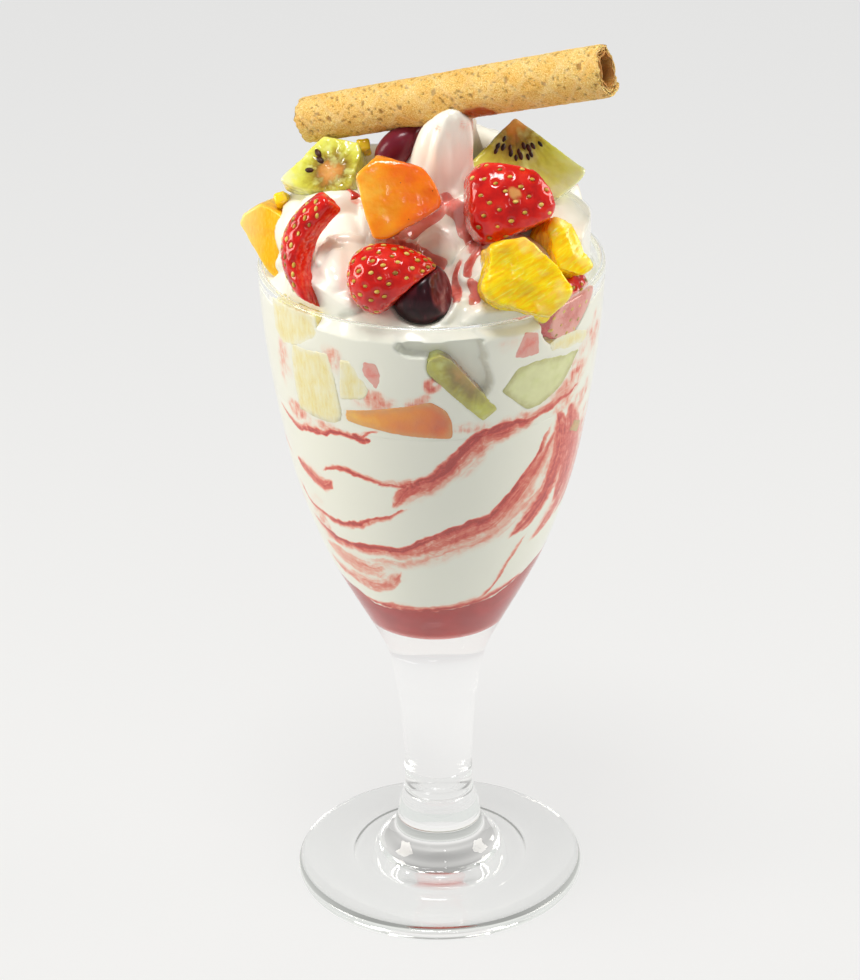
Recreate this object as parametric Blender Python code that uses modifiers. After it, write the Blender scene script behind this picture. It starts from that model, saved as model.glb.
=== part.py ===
"""Fruit salad with ice cream in a stemmed sundae glass.

The glass is turned about +Z and stands on the ground ring of its foot at z = 0. Sauce, marbled
ice cream and whipped cream fill the bowl, knife-cut fruit is pressed into the cream and against
the wall, and a wafer roll lies on the peak. Sizes below are in millimetres.
"""
import bpy
import bmesh
import numpy as np
from mathutils import Matrix, Vector

MM = 0.001

# Driving dimensions
GLASS_HEIGHT = 182.0
RIM_RADIUS = 44.2
FOOT_RADIUS = 38.9
STEM_RADIUS = 9.2
BOWL_FLOOR = 80.0        # inside bottom of the bowl
POOL_LEVEL = 94.0        # top of the sauce pool
CREAM_LEVEL = 148.5      # where the marbled ice cream ends and the whipped cream starts
HEART = (0.0, 0.0, 166.0)  # point inside the whipped cream that its lobes are measured from
WAFER_LENGTH = 84.4
WAFER_BORE = 3.7
GAP = 0.3                # clearance between pieces that touch
TURN_STEPS = 36          # facets round every turned piece


# ---------------------------------------------------------------- helpers

def hex_colour(text):
    """Linear RGBA of an sRGB hex colour."""
    srgb = [int(text[i:i + 2], 16) / 255 for i in (0, 2, 4)]
    return [c / 12.92 if c <= 0.04045 else ((c + 0.055) / 1.055) ** 2.4 for c in srgb] + [1.0]


def material(name, colour, roughness=0.4, transmission=0.0):
    found = bpy.data.materials.get(name)
    if found:
        return found
    made = bpy.data.materials.new(name)
    made.use_nodes = True
    shader = made.node_tree.nodes["Principled BSDF"]
    shader.inputs["Base Color"].default_value = hex_colour(colour)
    shader.inputs["Roughness"].default_value = roughness
    shader.inputs["Metallic"].default_value = 0.0
    shader.inputs["Transmission Weight"].default_value = transmission
    made.diffuse_color = hex_colour(colour)
    return made


def new_object(name, mesh, collection, finish=None):
    made = bpy.data.objects.new(name, mesh)
    collection.objects.link(made)
    if finish:
        mesh.materials.append(finish)
    return made


def hide_cutter(cutter):
    cutter.hide_render = True
    cutter.display_type = "WIRE"


def smooth_line(points, step):
    """(radius, height) points about `step` apart on a cubic curve through the given ones."""
    points = np.array(points, float)
    chords = np.hypot(*np.diff(points, axis=0).T)
    along = np.concatenate([[0.0], np.cumsum(chords)])
    slope = np.gradient(points, along, axis=0)
    count = max(2, int(round(along[-1] / step)) + 1)
    where = np.linspace(0.0, along[-1], count)
    i = np.clip(np.searchsorted(along, where, side="right") - 1, 0, len(chords) - 1)
    t = ((where - along[i]) / chords[i])[:, None]
    span = chords[i][:, None]
    return (
        (2 * t**3 - 3 * t**2 + 1) * points[i] + (t**3 - 2 * t**2 + t) * span * slope[i]
        + (3 * t**2 - 2 * t**3) * points[i + 1] + (t**3 - t**2) * span * slope[i + 1]
    )


def turned(name, profile, collection, finish=None, steps=TURN_STEPS):
    """Turn a (radius, height) line into a solid about +Z.

    A line that starts and ends on the axis is left open there; any other is joined end to end.
    """
    mesh = bpy.data.meshes.new(name)
    points = [(r * MM, 0.0, z * MM) for r, z in profile]
    edges = [(i, i + 1) for i in range(len(points) - 1)]
    if points[0][0] > 0.0:
        edges.append((len(points) - 1, 0))
    mesh.from_pydata(points, edges, [])
    made = new_object(name, mesh, collection, finish)
    screw = made.modifiers.new("Turn", "SCREW")
    screw.steps = screw.render_steps = steps
    screw.use_merge_vertices = True
    screw.merge_threshold = 0.00001
    screw.use_normal_calculate = False
    screw.use_smooth_shade = True
    return made


def boolean(target, operation, cutter=None, cutters=None):
    cut = target.modifiers.new(f"{operation.title()} {(cutter or cutters).name}"[:60], "BOOLEAN")
    cut.operation = operation
    cut.solver = "EXACT"
    if cutters:
        cut.operand_type = "COLLECTION"
        cut.collection = cutters
    else:
        cut.object = cutter
    return cut


# ---------------------------------------------------------------- glass

# Each line is (radius, height), from the top of that stretch down.
BOWL_OUTSIDE = [
    (RIM_RADIUS, GLASS_HEIGHT - 1.0), (43.5, 168), (41.6, 152), (39.3, 138), (36.4, 124),
    (32.8, 112), (28.3, 100), (23.4, 90), (19.2, 82), (16.1, 76), (13.5, 70), (11.9, 63),
]
STEM_OUTSIDE = [
    (11.1, 58), (10.1, 50), (9.5, 42), (STEM_RADIUS, 32), (9.5, 25), (10.8, 20.5),
]
KNOB_OUTSIDE = [(11.1, 19.2), (11.5, 16), (13.2, 12.2), (15.7, 9.4)]
FOOT_TOP = [(16.2, 8.4), (21.0, 6.3), (29.0, 4.3), (37.6, 3.1)]
FOOT_EDGE = [(FOOT_RADIUS, 2.0), (FOOT_RADIUS, 0.9), (38.0, 0.0)]
FOOT_UNDERSIDE = [(24.5, 0.0), (23.2, 0.8), (14.0, 2.0), (0.0, 2.4)]
BOWL_INSIDE = [
    (0.0, BOWL_FLOOR), (8.0, BOWL_FLOOR + 0.3), (12.6, BOWL_FLOOR + 1.9), (15.2, 84.0),
    (20.4, 90), (25.4, 100), (30.1, 112), (33.8, 124), (36.9, 138), (39.4, 152), (41.5, 168),
    (42.4, GLASS_HEIGHT - 1.0),
]
RIM_LIP = [(42.9, GLASS_HEIGHT - 0.1), (43.7, GLASS_HEIGHT - 0.1)]


def inside_radius(height):
    """Inner radius of the bowl at a height, or of the open room above the rim."""
    radii, heights = np.array(BOWL_INSIDE).T
    return np.interp(height, heights, radii)


def make_glass(parts):
    outside = np.concatenate([
        smooth_line(BOWL_OUTSIDE, 11.0), smooth_line(STEM_OUTSIDE, 9.0),
        np.array(KNOB_OUTSIDE + FOOT_TOP + FOOT_EDGE + FOOT_UNDERSIDE),
    ])
    inside = np.array(BOWL_INSIDE)
    lip = np.array(RIM_LIP)
    profile = np.concatenate([inside, lip, outside])
    return turned("glass", profile, parts, material("Glass", "F2F6F4", 0.02, 1.0))


def bore_line(low, high, gap):
    """Inner wall moved in by the gap, as (radius, height), from the top down."""
    radii, heights = np.array(BOWL_INSIDE).T
    between = heights[(heights > low + 1.5) & (heights < high - 1.5)][::-1]
    heights = np.concatenate([[high], between, [low]])
    return [(inside_radius(h) - gap, h) for h in heights]


def make_room(cutters):
    """What the contents may fill: the bowl inside its wall, and the open air above the rim."""
    wide, top = 70.0, 300.0
    rim = GLASS_HEIGHT + GAP
    line = [(0.0, top), (wide, top), (wide, rim), (inside_radius(rim) - 1.2 * GAP, rim)]
    line += bore_line(BOWL_FLOOR + 2.0, GLASS_HEIGHT - 1.0, 1.2 * GAP) + [(0.0, BOWL_FLOOR + 2.0)]
    room = turned("room_in_glass", line, cutters)
    hide_cutter(room)
    return room


# ---------------------------------------------------------------- sauce and ice cream

def make_sauce_pool(parts):
    side = bore_line(BOWL_FLOOR + 1.9, POOL_LEVEL, 1.2 * GAP)
    line = [(0.0, POOL_LEVEL)] + side + [(8.0, BOWL_FLOOR + 0.3 + GAP), (0.0, BOWL_FLOOR + GAP)]
    return turned("sauce_pool", line, parts, material("Strawberry sauce", "B3363A", 0.15))


def make_ice_cream(parts, seats):
    low, high = POOL_LEVEL + GAP, CREAM_LEVEL - GAP
    line = [(0.0, high)] + bore_line(low, high, 1.2 * GAP) + [(0.0, low)]
    made = turned("ice_cream", line, parts, material("Marbled ice cream", "F1E9DE", 0.45))
    boolean(made, "DIFFERENCE", cutters=seats)
    return made


# ---------------------------------------------------------------- whipped cream

# Lobes of the mound: centre and half-sizes (x, y, z, half x, half y, half z).
CREAM_LOBES = [
    (0, 0, 165, 48, 48, 27),        # bed that fills the bowl out to the wall
    (4, 3, 190, 17, 16, 27),        # middle of the mound
    (5, -7.5, 213, 7, 4.5, 12.5),   # peak, which climbs the front of the wafer roll
    (9.5, -4, 208, 8, 6.5, 11),     # shoulder beside the peak
    (-25, 5, 184, 15, 16, 17),      # left
    (-24, -19, 182, 15, 14, 13),    # left front
    (-5, -27, 182, 14, 13, 14),     # front
    (16, -25, 182, 14, 13, 15),     # right front
    (28, -2, 185, 13, 17, 15),      # right
    (21, 20, 184, 16, 16, 16),      # right back
    (-2, 27, 184, 16, 14, 16),      # back
    (-23, 23, 183, 14, 14, 14),     # left back
]
LOBE_BLEND = 0.9   # millimetres over which neighbouring lobes run together


def cream_reach(direction):
    """Distance from HEART to the outside of the lobes, blended, along a unit direction."""
    reach = []
    for *centre, a, b, c in CREAM_LOBES:
        size = np.array([a, b, c])
        start = (np.array(HEART) - centre) / size
        way = np.array(direction) / size
        half, square = start @ way, way @ way
        under_root = half**2 - square * (start @ start - 1)
        reach.append((-half + np.sqrt(under_root)) / square if under_root > 0 else 0.0)
    reach = np.array(reach)
    most = reach.max()
    return most + LOBE_BLEND * np.log(np.exp((reach - most) / LOBE_BLEND).sum())


def make_cream_top(parts, seats):
    work = bmesh.new()
    bmesh.ops.create_uvsphere(work, u_segments=36, v_segments=24, radius=1.0)
    floor = CREAM_LEVEL
    for vert in work.verts:
        direction = np.array(vert.co.normalized())
        x, y, z = np.array(HEART) + cream_reach(direction) * direction
        z = max(z, floor)
        radius = np.hypot(x, y)
        shrink = min(1.0, (inside_radius(z) - 1.7 * GAP) / max(radius, 1.0))
        x, y = x * shrink, y * shrink
        vert.co = Vector((x, y, z)) * MM
    mesh = bpy.data.meshes.new("cream_top")
    work.to_mesh(mesh)
    work.free()
    mesh.shade_smooth()
    made = new_object("cream_top", mesh, parts, material("Whipped cream", "F6F2EA", 0.35))
    boolean(made, "DIFFERENCE", cutters=seats)
    return made


# ---------------------------------------------------------------- fruit

def facing_frame(at, facing):
    """World matrix of a piece: x right and y up across its outer face, z straight out of it.

    `facing` is (yaw, lean, spin) in degrees: yaw 0 faces -Y, lean tips the face up, spin turns
    the piece about the face's own normal.
    """
    yaw, lean, spin = np.radians(facing)
    out = Vector((np.sin(yaw) * np.cos(lean), -np.cos(yaw) * np.cos(lean), np.sin(lean)))
    right = Vector((np.cos(yaw), np.sin(yaw), 0.0))
    axes = Matrix((right, out.cross(right), out)).transposed().to_4x4()
    return Matrix.Translation(Vector(at) * MM) @ axes @ Matrix.Rotation(spin, 4, "Z")


def at_wall(angle, height, inward=0.0):
    """Point on the bowl's inner wall; angle in degrees from -Y, positive towards +X."""
    turn = np.radians(angle)
    radius = inside_radius(height) - inward
    return (radius * np.sin(turn), -radius * np.cos(turn), height)


def knife_planes(outline, front, back, cuts):
    """(normal, distance) of every flat cut, from a convex outline listed clockwise."""
    planes = []
    for (u0, v0), (u1, v1) in zip(outline, outline[1:] + outline[:1]):
        normal = Vector((v0 - v1, u1 - u0, 0.0)).normalized()
        planes.append((normal, normal.x * u0 + normal.y * v0))
    if front is not None:
        planes.append((Vector((0, 0, 1)), front))
    if back is not None:
        planes.append((Vector((0, 0, -1)), back))
    planes += [(Vector(normal).normalized(), distance) for normal, distance in cuts]
    return planes


def piece_mesh(name, skin, planes, bend, grow):
    """A berry or a block of flesh, with its knife cuts, swollen by `grow`."""
    work = bmesh.new()
    if skin:
        u, v, w, long, wide, deep, taper = skin
        bmesh.ops.create_uvsphere(work, u_segments=14, v_segments=9, radius=1.0)
        bmesh.ops.rotate(work, verts=work.verts, matrix=Matrix.Rotation(np.pi / 2, 3, "Y"))
        for vert in work.verts:
            narrow = 1.0 - taper * (vert.co.x + 1.0) / 2.0
            vert.co.x = u + (long + grow) * vert.co.x
            vert.co.y = v + (wide + grow) * vert.co.y * narrow
            vert.co.z = w + (deep + grow) * vert.co.z * narrow
    else:
        bmesh.ops.create_cube(work, size=80.0)
    for normal, distance in planes:
        whole = work.verts[:] + work.edges[:] + work.faces[:]
        cut = bmesh.ops.bisect_plane(
            work, geom=whole, dist=1e-4, plane_co=normal * (distance + grow),
            plane_no=normal, clear_outer=True,
        )
        edges = [g for g in cut["geom_cut"] if isinstance(g, bmesh.types.BMEdge)]
        if edges:
            bmesh.ops.contextual_create(work, geom=edges)
    bmesh.ops.remove_doubles(work, verts=work.verts, dist=0.02)
    bmesh.ops.triangulate(work, faces=work.faces)
    for vert in work.verts:
        vert.co.y += bend * vert.co.x ** 2
        vert.co *= MM
    bmesh.ops.recalc_face_normals(work, faces=work.faces)
    mesh = bpy.data.meshes.new(name)
    work.to_mesh(mesh)
    work.free()
    return mesh


def fruit(name, colour, at, facing, outline=(), front=None, back=None, skin=None, cuts=(), bend=0.0):
    """One piece of fruit, the cutter that makes room for it, and its place."""
    parts, cutters = bpy.data.collections[PARTS], bpy.data.collections[SEATS]
    planes = knife_planes(list(outline), front, back, list(cuts))
    frame = facing_frame(at, facing)
    flesh = material(*colour)
    made = new_object(name, piece_mesh(name, skin, planes, bend, 0.0), parts, flesh)
    made.matrix_world = frame
    cutter = new_object(
        f"{name}_seat", piece_mesh(f"{name}_seat", skin, planes, bend, 1.2 * GAP), cutters)
    cutter.matrix_world = frame
    hide_cutter(cutter)
    return made


PARTS = "Fruit salad with ice cream"
CUTTERS = "Cutters"
SEATS = "Seats"

STRAWBERRY = ("Strawberry", "C81E1A", 0.25)
MANGO = ("Mango", "F9C23C", 0.35)
PEACH = ("Peach", "F08A1E", 0.3)
ORANGE = ("Orange segment", "F4CE28", 0.3)
KIWI = ("Kiwi", "A9AE44", 0.3)
CHERRY = ("Dark cherry", "4A1219", 0.15)
PINEAPPLE = ("Pineapple", "EBD98A", 0.4)


def make_fruit_on_top():
    """Pieces pressed into the mound, from the rim at the left round to the right."""
    fruit("mango_left", MANGO, (-43.6, 1, 187.5), (-20, 12, 0),
          [(-5.2, 3.2), (-4.2, 6.0), (0.4, 9.4), (8.4, 6.0), (10.2, -3.0), (8.2, -10.4),
           (3.2, -8.4), (-0.6, -3.2)], front=1.5, back=9)
    fruit("strawberry_left", STRAWBERRY, (-30.4, -22.5, 195.0), (-25, 25, 90),
          skin=(-0.5, 1.6, -3.0, 26.0, 6.2, 7.5, 0.0),
          cuts=[((-0.17, -0.915, 0.365), 1.3), ((0.926, -0.376, 0.0), 11.0),
                ((-0.915, 0.404, 0.0), 13.6), ((-1.0, 0.0, 0.0), 15.2), ((0.8, 0.0, 0.6), 14.0)],
          back=1.0, bend=-0.037)
    fruit("strawberry_front", STRAWBERRY, (-10.2, -37.0, 192.7), (0, 30, 8),
          skin=(0.7, 0.6, -4.0, 11.2, 11.0, 9.5, 0.5), cuts=[((0.51, -0.86, 0.0), 5.0)])
    fruit("cherry_front", CHERRY, (-2.4, -33.5, 187.0), (0, 27, 0),
          skin=(0.0, 0.0, -1.5, 7.8, 7.7, 7.5, 0.0), cuts=[((0.85, 0.1, 0.5), 4.7)])
    fruit("peach_chunk", PEACH, (-7.8, -23.0, 207.8), (0, 25, 0),
          [(-10.5, 5.3), (-5.0, 10.3), (6.2, 7.2), (10.8, -0.5), (10.2, -2.6), (-3.7, -10.4),
           (-6.5, -10.0)], front=4.5, back=8, cuts=[((0.0, 0.75, 0.66), 9.3)])
    fruit("strawberry_right", STRAWBERRY, (19.7, -22.0, 205.6), (10, 30, 0),
          [(-10.9, -2.5), (-9.6, 8.4), (-6.9, 10.5), (-4.1, 10.7), (6.8, 7.2), (10.6, 1.0),
           (11.0, -1.8), (9.1, -4.8), (-5.5, -9.5), (-7.7, -9.1), (-9.8, -6.5)],
          skin=(0.3, 0.5, -4.0, 13.5, 12.8, 9.5, 0.0))
    fruit("orange_front", ORANGE, (23.1, -32.0, 190.7), (15, 27, 0),
          [(-12.2, -2.5), (-9.0, 7.8), (4.9, 10.5), (8.2, 0.0), (11.4, -3.6), (3.5, -11.3),
           (-8.5, -7.0)], front=5, back=7)
    fruit("orange_back", ORANGE, (33.2, -20.0, 192.8), (35, 30, 0),
          [(-5.5, 5.5), (-2.0, 8.3), (2.8, 4.5), (4.2, -6.6), (0.4, -8.2), (-5.5, -5.0)],
          front=3, back=7)
    fruit("kiwi_right", KIWI, (23.5, -1.5, 208.6), (15, 35, 0),
          [(-15.5, -0.5), (-1.2, 10.6), (14.8, -4.8), (13.5, -7.0), (6.5, -11.0), (-9.0, -8.0)],
          front=3, back=6)
    fruit("kiwi_left", KIWI, (-27.3, 3.0, 205.6), (-20, 45, 0),
          [(-9.8, -5.5), (-4.8, 2.0), (-1.0, 7.6), (8.7, 7.3), (10.4, 4.0), (9.6, -5.0),
           (6.6, -7.0), (-5.0, -7.0)], front=2.5, back=5)
    fruit("cherry_back", CHERRY, (-8.1, 2.0, 212.4), (-10, 40, 40),
          skin=(0.5, -0.8, -2.0, 7.7, 4.7, 6.5, 0.0), cuts=[((0.45, -0.9, 0.0), 4.2)])
    fruit("pineapple_bit_left", PINEAPPLE, (-37.5, 3.0, 197.6), (-20, 40, 35),
          [(-2.2, -1.6), (-1.9, 1.3), (1.6, 1.3), (1.9, -1.6)], front=1.5, back=3)
    fruit("pineapple_bit_back", PINEAPPLE, (-17.2, 6.0, 210.0), (0, 40, 10),
          [(-1.2, -1.8), (-1.0, 1.5), (2.4, 1.3), (2.3, -1.8)], front=2, back=3)
    fruit("strawberry_rim", STRAWBERRY, (33.0, -22.5, 178.5), (52, 5, 20),
          skin=(0.0, 0.0, -3.0, 11.5, 8.0, 9.0, 0.3), cuts=[((0.3, -0.95, 0.0), 5.0)])


def make_fruit_at_wall():
    """Pieces that show through the bowl, pressed against its wall."""
    fruit("pineapple_upper", PINEAPPLE, at_wall(-53, 173.6), (-53, 0, 0),
          [(-9.0, -3.0), (-9.5, 6.0), (8.0, 7.0), (9.0, 2.0), (3.0, -2.5), (-5.0, -5.5)],
          front=2, back=8)
    fruit("pineapple_lower", PINEAPPLE, at_wall(-45, 161.5), (-45, -6, 0),
          [(-8.0, 4.5), (-7.0, 8.5), (5.5, 10.0), (7.0, 4.0), (7.8, -8.0), (5.5, -10.5),
           (-7.5, -10.5)], front=2, back=9)
    fruit("melon_seeded", PINEAPPLE, at_wall(-28, 165.0), (-28, -5, 0),
          [(-4.2, -5.8), (-3.4, 6.0), (0.0, 6.2), (4.2, -1.8), (2.5, -4.5)], front=2, back=6)
    fruit("berry_bit", STRAWBERRY, at_wall(-21.5, 167.5), (-21.5, -5, 0),
          [(-2.4, 0.0), (-1.6, 4.2), (1.6, 3.8), (3.2, -1.0), (1.4, -3.6)], front=2, back=5)
    fruit("peach_slice", PEACH, at_wall(-13, 156.0), (-13, -8, 0),
          [(-13.2, -3.0), (-13.4, 1.2), (3.8, 4.5), (8.0, 5.6), (12.0, 2.6), (13.4, -1.6),
           (13.0, -6.0)], front=5, back=9)
    fruit("kiwi_strip", KIWI, at_wall(10, 164.5), (10, -6, 0),
          [(-8.9, 5.3), (-8.6, 8.6), (-5.6, 10.0), (-3.2, 8.8), (8.9, -7.0), (5.0, -10.0)],
          front=2, back=6)
    fruit("berry_low", STRAWBERRY, at_wall(33, 173.5), (33, -4, 0),
          [(-4.2, -3.0), (-1.0, 4.0), (3.0, 3.0), (3.6, -3.2)], front=2, back=5)
    fruit("pineapple_right", PINEAPPLE, at_wall(53, 169.5), (53, -4, 0),
          [(-8.0, 2.6), (-4.6, 3.6), (2.0, 3.0), (8.0, 0.4), (7.8, -2.2), (1.8, -1.8),
           (-7.0, 0.0)], front=3, back=7)
    fruit("kiwi_low", KIWI, at_wall(43, 162.3), (43, -6, 0),
          [(-13.6, -0.2), (-9.9, 5.6), (-4.2, 6.6), (11.6, 3.9), (5.2, -3.8), (-2.2, -7.2),
           (-6.0, -7.2)], front=4, back=8)
    fruit("green_bit", KIWI, at_wall(66, 142.0), (66, -10, -30),
          [(-3.6, -1.6), (-3.2, 1.6), (3.2, 1.8), (3.6, -1.4)], front=2, back=4)


def make_fruit_behind():
    """The side turned away, filled with the same fruit in the same way."""
    fruit("strawberry_rear", STRAWBERRY, (6.0, 31.0, 196.0), (175, 35, 160),
          skin=(-0.5, 0.0, -3.5, 12.0, 10.5, 9.0, 0.5), cuts=[((0.3, -0.95, 0.0), 6.0)])
    fruit("kiwi_rear", KIWI, (-20.0, 30.0, 192.0), (215, 35, 15),
          [(-10.5, -6.0), (-8.0, 6.0), (7.0, 8.0), (10.0, -3.0), (2.0, -8.0)], front=3, back=6)
    fruit("orange_rear", ORANGE, (24.0, 27.0, 192.0), (140, 35, -10),
          [(-9.0, -6.0), (-8.0, 6.0), (4.0, 8.5), (10.0, 0.0), (4.0, -7.5)], front=6, back=6)
    fruit("peach_rear", PEACH, at_wall(150, 160.0), (150, -6, 12),
          [(-11.0, -4.0), (-10.0, 3.5), (3.0, 5.5), (11.0, 1.0), (10.0, -5.0)], front=4, back=8)
    fruit("pineapple_rear", PINEAPPLE, at_wall(-155, 165.0), (-155, -5, -8),
          [(-7.0, -9.0), (-8.0, 8.0), (6.5, 9.5), (8.0, -7.0)], front=2, back=8)
    fruit("kiwi_side", KIWI, at_wall(-112, 163.0), (-112, -6, 25),
          [(-9.0, -5.0), (-7.0, 6.0), (6.0, 7.0), (10.0, -1.0), (3.0, -7.0)], front=3, back=7)
    fruit("strawberry_side", STRAWBERRY, at_wall(112, 166.0, 2.0), (112, -5, 30),
          skin=(0.0, 0.0, -3.0, 11.0, 8.5, 8.0, 0.45), cuts=[((0.0, -1.0, 0.0), 5.5)])


def fit_fruit(room):
    """Trim each piece to the room in the bowl, then to the roll and the pieces placed before it."""
    view = bpy.context.view_layer
    view.update()
    cutters = list(bpy.data.collections[SEATS].objects)
    boxes = []
    for cutter in cutters:
        corners = np.array([cutter.matrix_world @ Vector(c) for c in cutter.bound_box])
        boxes.append((corners.min(axis=0), corners.max(axis=0)))
    for i, cutter in enumerate(cutters):
        piece = bpy.data.objects[cutter.name[:-len("_seat")]]
        if piece.name == "wafer_roll":
            continue
        boolean(piece, "INTERSECT", room)
        for j, (low, high) in enumerate(boxes[:i]):
            if (low < boxes[i][1]).all() and (high > boxes[i][0]).all():
                boolean(piece, "DIFFERENCE", cutters[j])


# ---------------------------------------------------------------- wafer roll

WAFER_LEFT = (-31.6, 15.0, 213.9)      # middle of the narrow end
WAFER_RIGHT = (43.7, -15.0, 237.4)     # middle of the wide end, which faces forward
WAFER_RADII = (6.0, 6.75)


def make_wafer_roll(parts, seats):
    """The open roll, and the solid rod that seats it in the cream and the fruit."""
    turn = (Vector(WAFER_RIGHT) - Vector(WAFER_LEFT)).to_track_quat("Z", "Y").to_matrix()
    place = Matrix.Translation(Vector(WAFER_LEFT) * MM) @ turn.to_4x4()
    narrow, wide = WAFER_RADII
    wall = [(WAFER_BORE, WAFER_LENGTH), (wide, WAFER_LENGTH), (narrow, 0.0), (WAFER_BORE, 0.0)]
    roll = turned("wafer_roll", wall, parts, material("Wafer", "D9A95B", 0.7), 20)
    rod = [(0.0, WAFER_LENGTH + GAP), (wide + 1.2 * GAP, WAFER_LENGTH + GAP),
           (narrow + 1.2 * GAP, -GAP), (0.0, -GAP)]
    seat = turned("wafer_roll_seat", rod, seats, steps=20)
    hide_cutter(seat)
    roll.matrix_world = seat.matrix_world = place


# ---------------------------------------------------------------- assembly

def main():
    for old in list(bpy.data.objects):
        bpy.data.objects.remove(old, do_unlink=True)
    scene = bpy.context.scene.collection
    parts = bpy.data.collections.new(PARTS)
    cutters = bpy.data.collections.new(CUTTERS)
    seats = bpy.data.collections.new(SEATS)
    scene.children.link(parts)
    scene.children.link(cutters)
    cutters.children.link(seats)

    make_glass(parts)
    make_sauce_pool(parts)
    make_ice_cream(parts, seats)
    make_wafer_roll(parts, seats)
    make_fruit_on_top()
    make_fruit_at_wall()
    make_fruit_behind()
    fit_fruit(make_room(cutters))
    make_cream_top(parts, seats)


main()
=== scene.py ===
"""Fruit salad with ice cream in a stemmed sundae glass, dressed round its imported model.

Everything is measured in millimetres here and turned to metres as it is put into a mesh. The
glass stands on the ground ring of its foot at z = 0 and its axis is +Z; the shown side is -Y.
"""

import bpy
import numpy as np
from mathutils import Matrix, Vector


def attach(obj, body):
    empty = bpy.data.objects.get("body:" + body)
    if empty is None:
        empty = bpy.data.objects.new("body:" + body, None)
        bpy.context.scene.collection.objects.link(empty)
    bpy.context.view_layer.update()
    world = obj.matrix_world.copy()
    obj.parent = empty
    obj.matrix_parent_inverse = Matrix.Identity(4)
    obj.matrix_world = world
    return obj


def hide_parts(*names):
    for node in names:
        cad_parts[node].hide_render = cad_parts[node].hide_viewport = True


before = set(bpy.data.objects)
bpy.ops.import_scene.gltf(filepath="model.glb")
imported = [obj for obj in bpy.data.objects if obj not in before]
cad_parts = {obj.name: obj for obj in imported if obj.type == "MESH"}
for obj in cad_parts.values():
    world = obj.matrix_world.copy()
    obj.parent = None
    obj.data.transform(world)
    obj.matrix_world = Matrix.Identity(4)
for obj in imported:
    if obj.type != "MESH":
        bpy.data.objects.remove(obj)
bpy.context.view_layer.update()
MM = 0.001

# ---------------------------------------------------------------- camera, table and light
# The camera looks down at the glass from the front, as someone about to eat would.
# A pale matt table lies under it, and soft boxes stand left, right and above.
CAMERA_PLACE = (-1.23, -825.15, 539.06)
CAMERA_PITCH = 0.4741        # radians below the horizon
CAMERA_ROLL = -0.0148
CAMERA_LENS = 129.95
TABLE_COLOUR = "747472"
ROOM_SEEN, CEILING_SEEN, ROOM_LIGHT = 0.96, 0.42, 0.30


def linear(text):
    """Linear RGBA of an sRGB hex colour."""
    srgb = [int(text[i:i + 2], 16) / 255 for i in (0, 2, 4)]
    return [c / 12.92 if c <= 0.04045 else ((c + 0.055) / 1.055) ** 2.4 for c in srgb] + [1.0]


def feed(node, inputs):
    """Sets sockets of a node, each from a value, an sRGB hex colour, a socket of another node, or
    another node, which stands for the first of its outputs that is in use."""
    for name, value in inputs.items():
        if isinstance(value, bpy.types.Node):
            value = next(output for output in value.outputs if output.enabled)
        if isinstance(value, bpy.types.NodeSocket):
            node.id_data.links.new(value, node.inputs[name])
        else:
            node.inputs[name].default_value = linear(value) if isinstance(value, str) else value


def add(tree, kind, inputs=None, stops=(), **settings):
    """Adds one node with its settings and links. `stops` gives a colour ramp its (place, hex
    colour) pairs."""
    made = tree.nodes.new("ShaderNode" + kind)
    for name, value in settings.items():
        setattr(made, name, value)
    feed(made, inputs or {})
    for i, (place, colour) in enumerate(stops):
        stop = made.color_ramp.elements[i] if i < 2 else made.color_ramp.elements.new(place)
        stop.position = place
        stop.color = linear(colour)
    return made


def finish(name, **values):
    """A new material with one Principled shader; underscores in a socket's name are spaces."""
    made = bpy.data.materials.new(name)
    made.use_nodes = True
    tree = made.node_tree
    shader = tree.nodes["Principled BSDF"]
    feed(shader, {socket.replace("_", " "): value for socket, value in values.items()})
    return made, tree, shader


def soft_box(name, place, aim, size, power, colour="FFFFFF"):
    """An area light of `size` mm, wide and high, at `place`, that faces the point `aim`."""
    lamp = bpy.data.lights.new(name, "AREA")
    lamp.shape = "RECTANGLE"
    lamp.size, lamp.size_y = size[0] * MM, size[1] * MM
    lamp.energy = power
    lamp.color = linear(colour)[:3]
    made = bpy.data.objects.new(name, lamp)
    bpy.context.scene.collection.objects.link(made)
    made.location = Vector(place) * MM
    made.rotation_euler = (Vector(aim) - Vector(place)).to_track_quat("-Z", "Y").to_euler()


lens = bpy.data.cameras.new("camera")
lens.lens = CAMERA_LENS
lens.clip_end = 10
camera = bpy.data.objects.new("camera", lens)
bpy.context.scene.collection.objects.link(camera)
camera.location = Vector(CAMERA_PLACE) * MM
camera.rotation_euler = (np.pi / 2 - CAMERA_PITCH, 0.0, 0.0)
camera.rotation_euler.rotate_axis("Z", CAMERA_ROLL)
bpy.context.scene.camera = camera

TABLE_SIZE = 6000.0
table_mesh = bpy.data.meshes.new("table")
half = TABLE_SIZE / 2 * MM
table_mesh.from_pydata(
    [(-half, -half, 0), (half, -half, 0), (half, half, 0), (-half, half, 0)], [], [(0, 1, 2, 3)])
table = bpy.data.objects.new("table", table_mesh)
bpy.context.scene.collection.objects.link(table)
table_mesh.materials.append(finish("Matt laminate lit from below", Base_Color=TABLE_COLOUR,
                                   Roughness=0.8, Specular_IOR_Level=0.2, Emission_Color="FFFFFF",
                                   Emission_Strength=0.68)[0])

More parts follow.
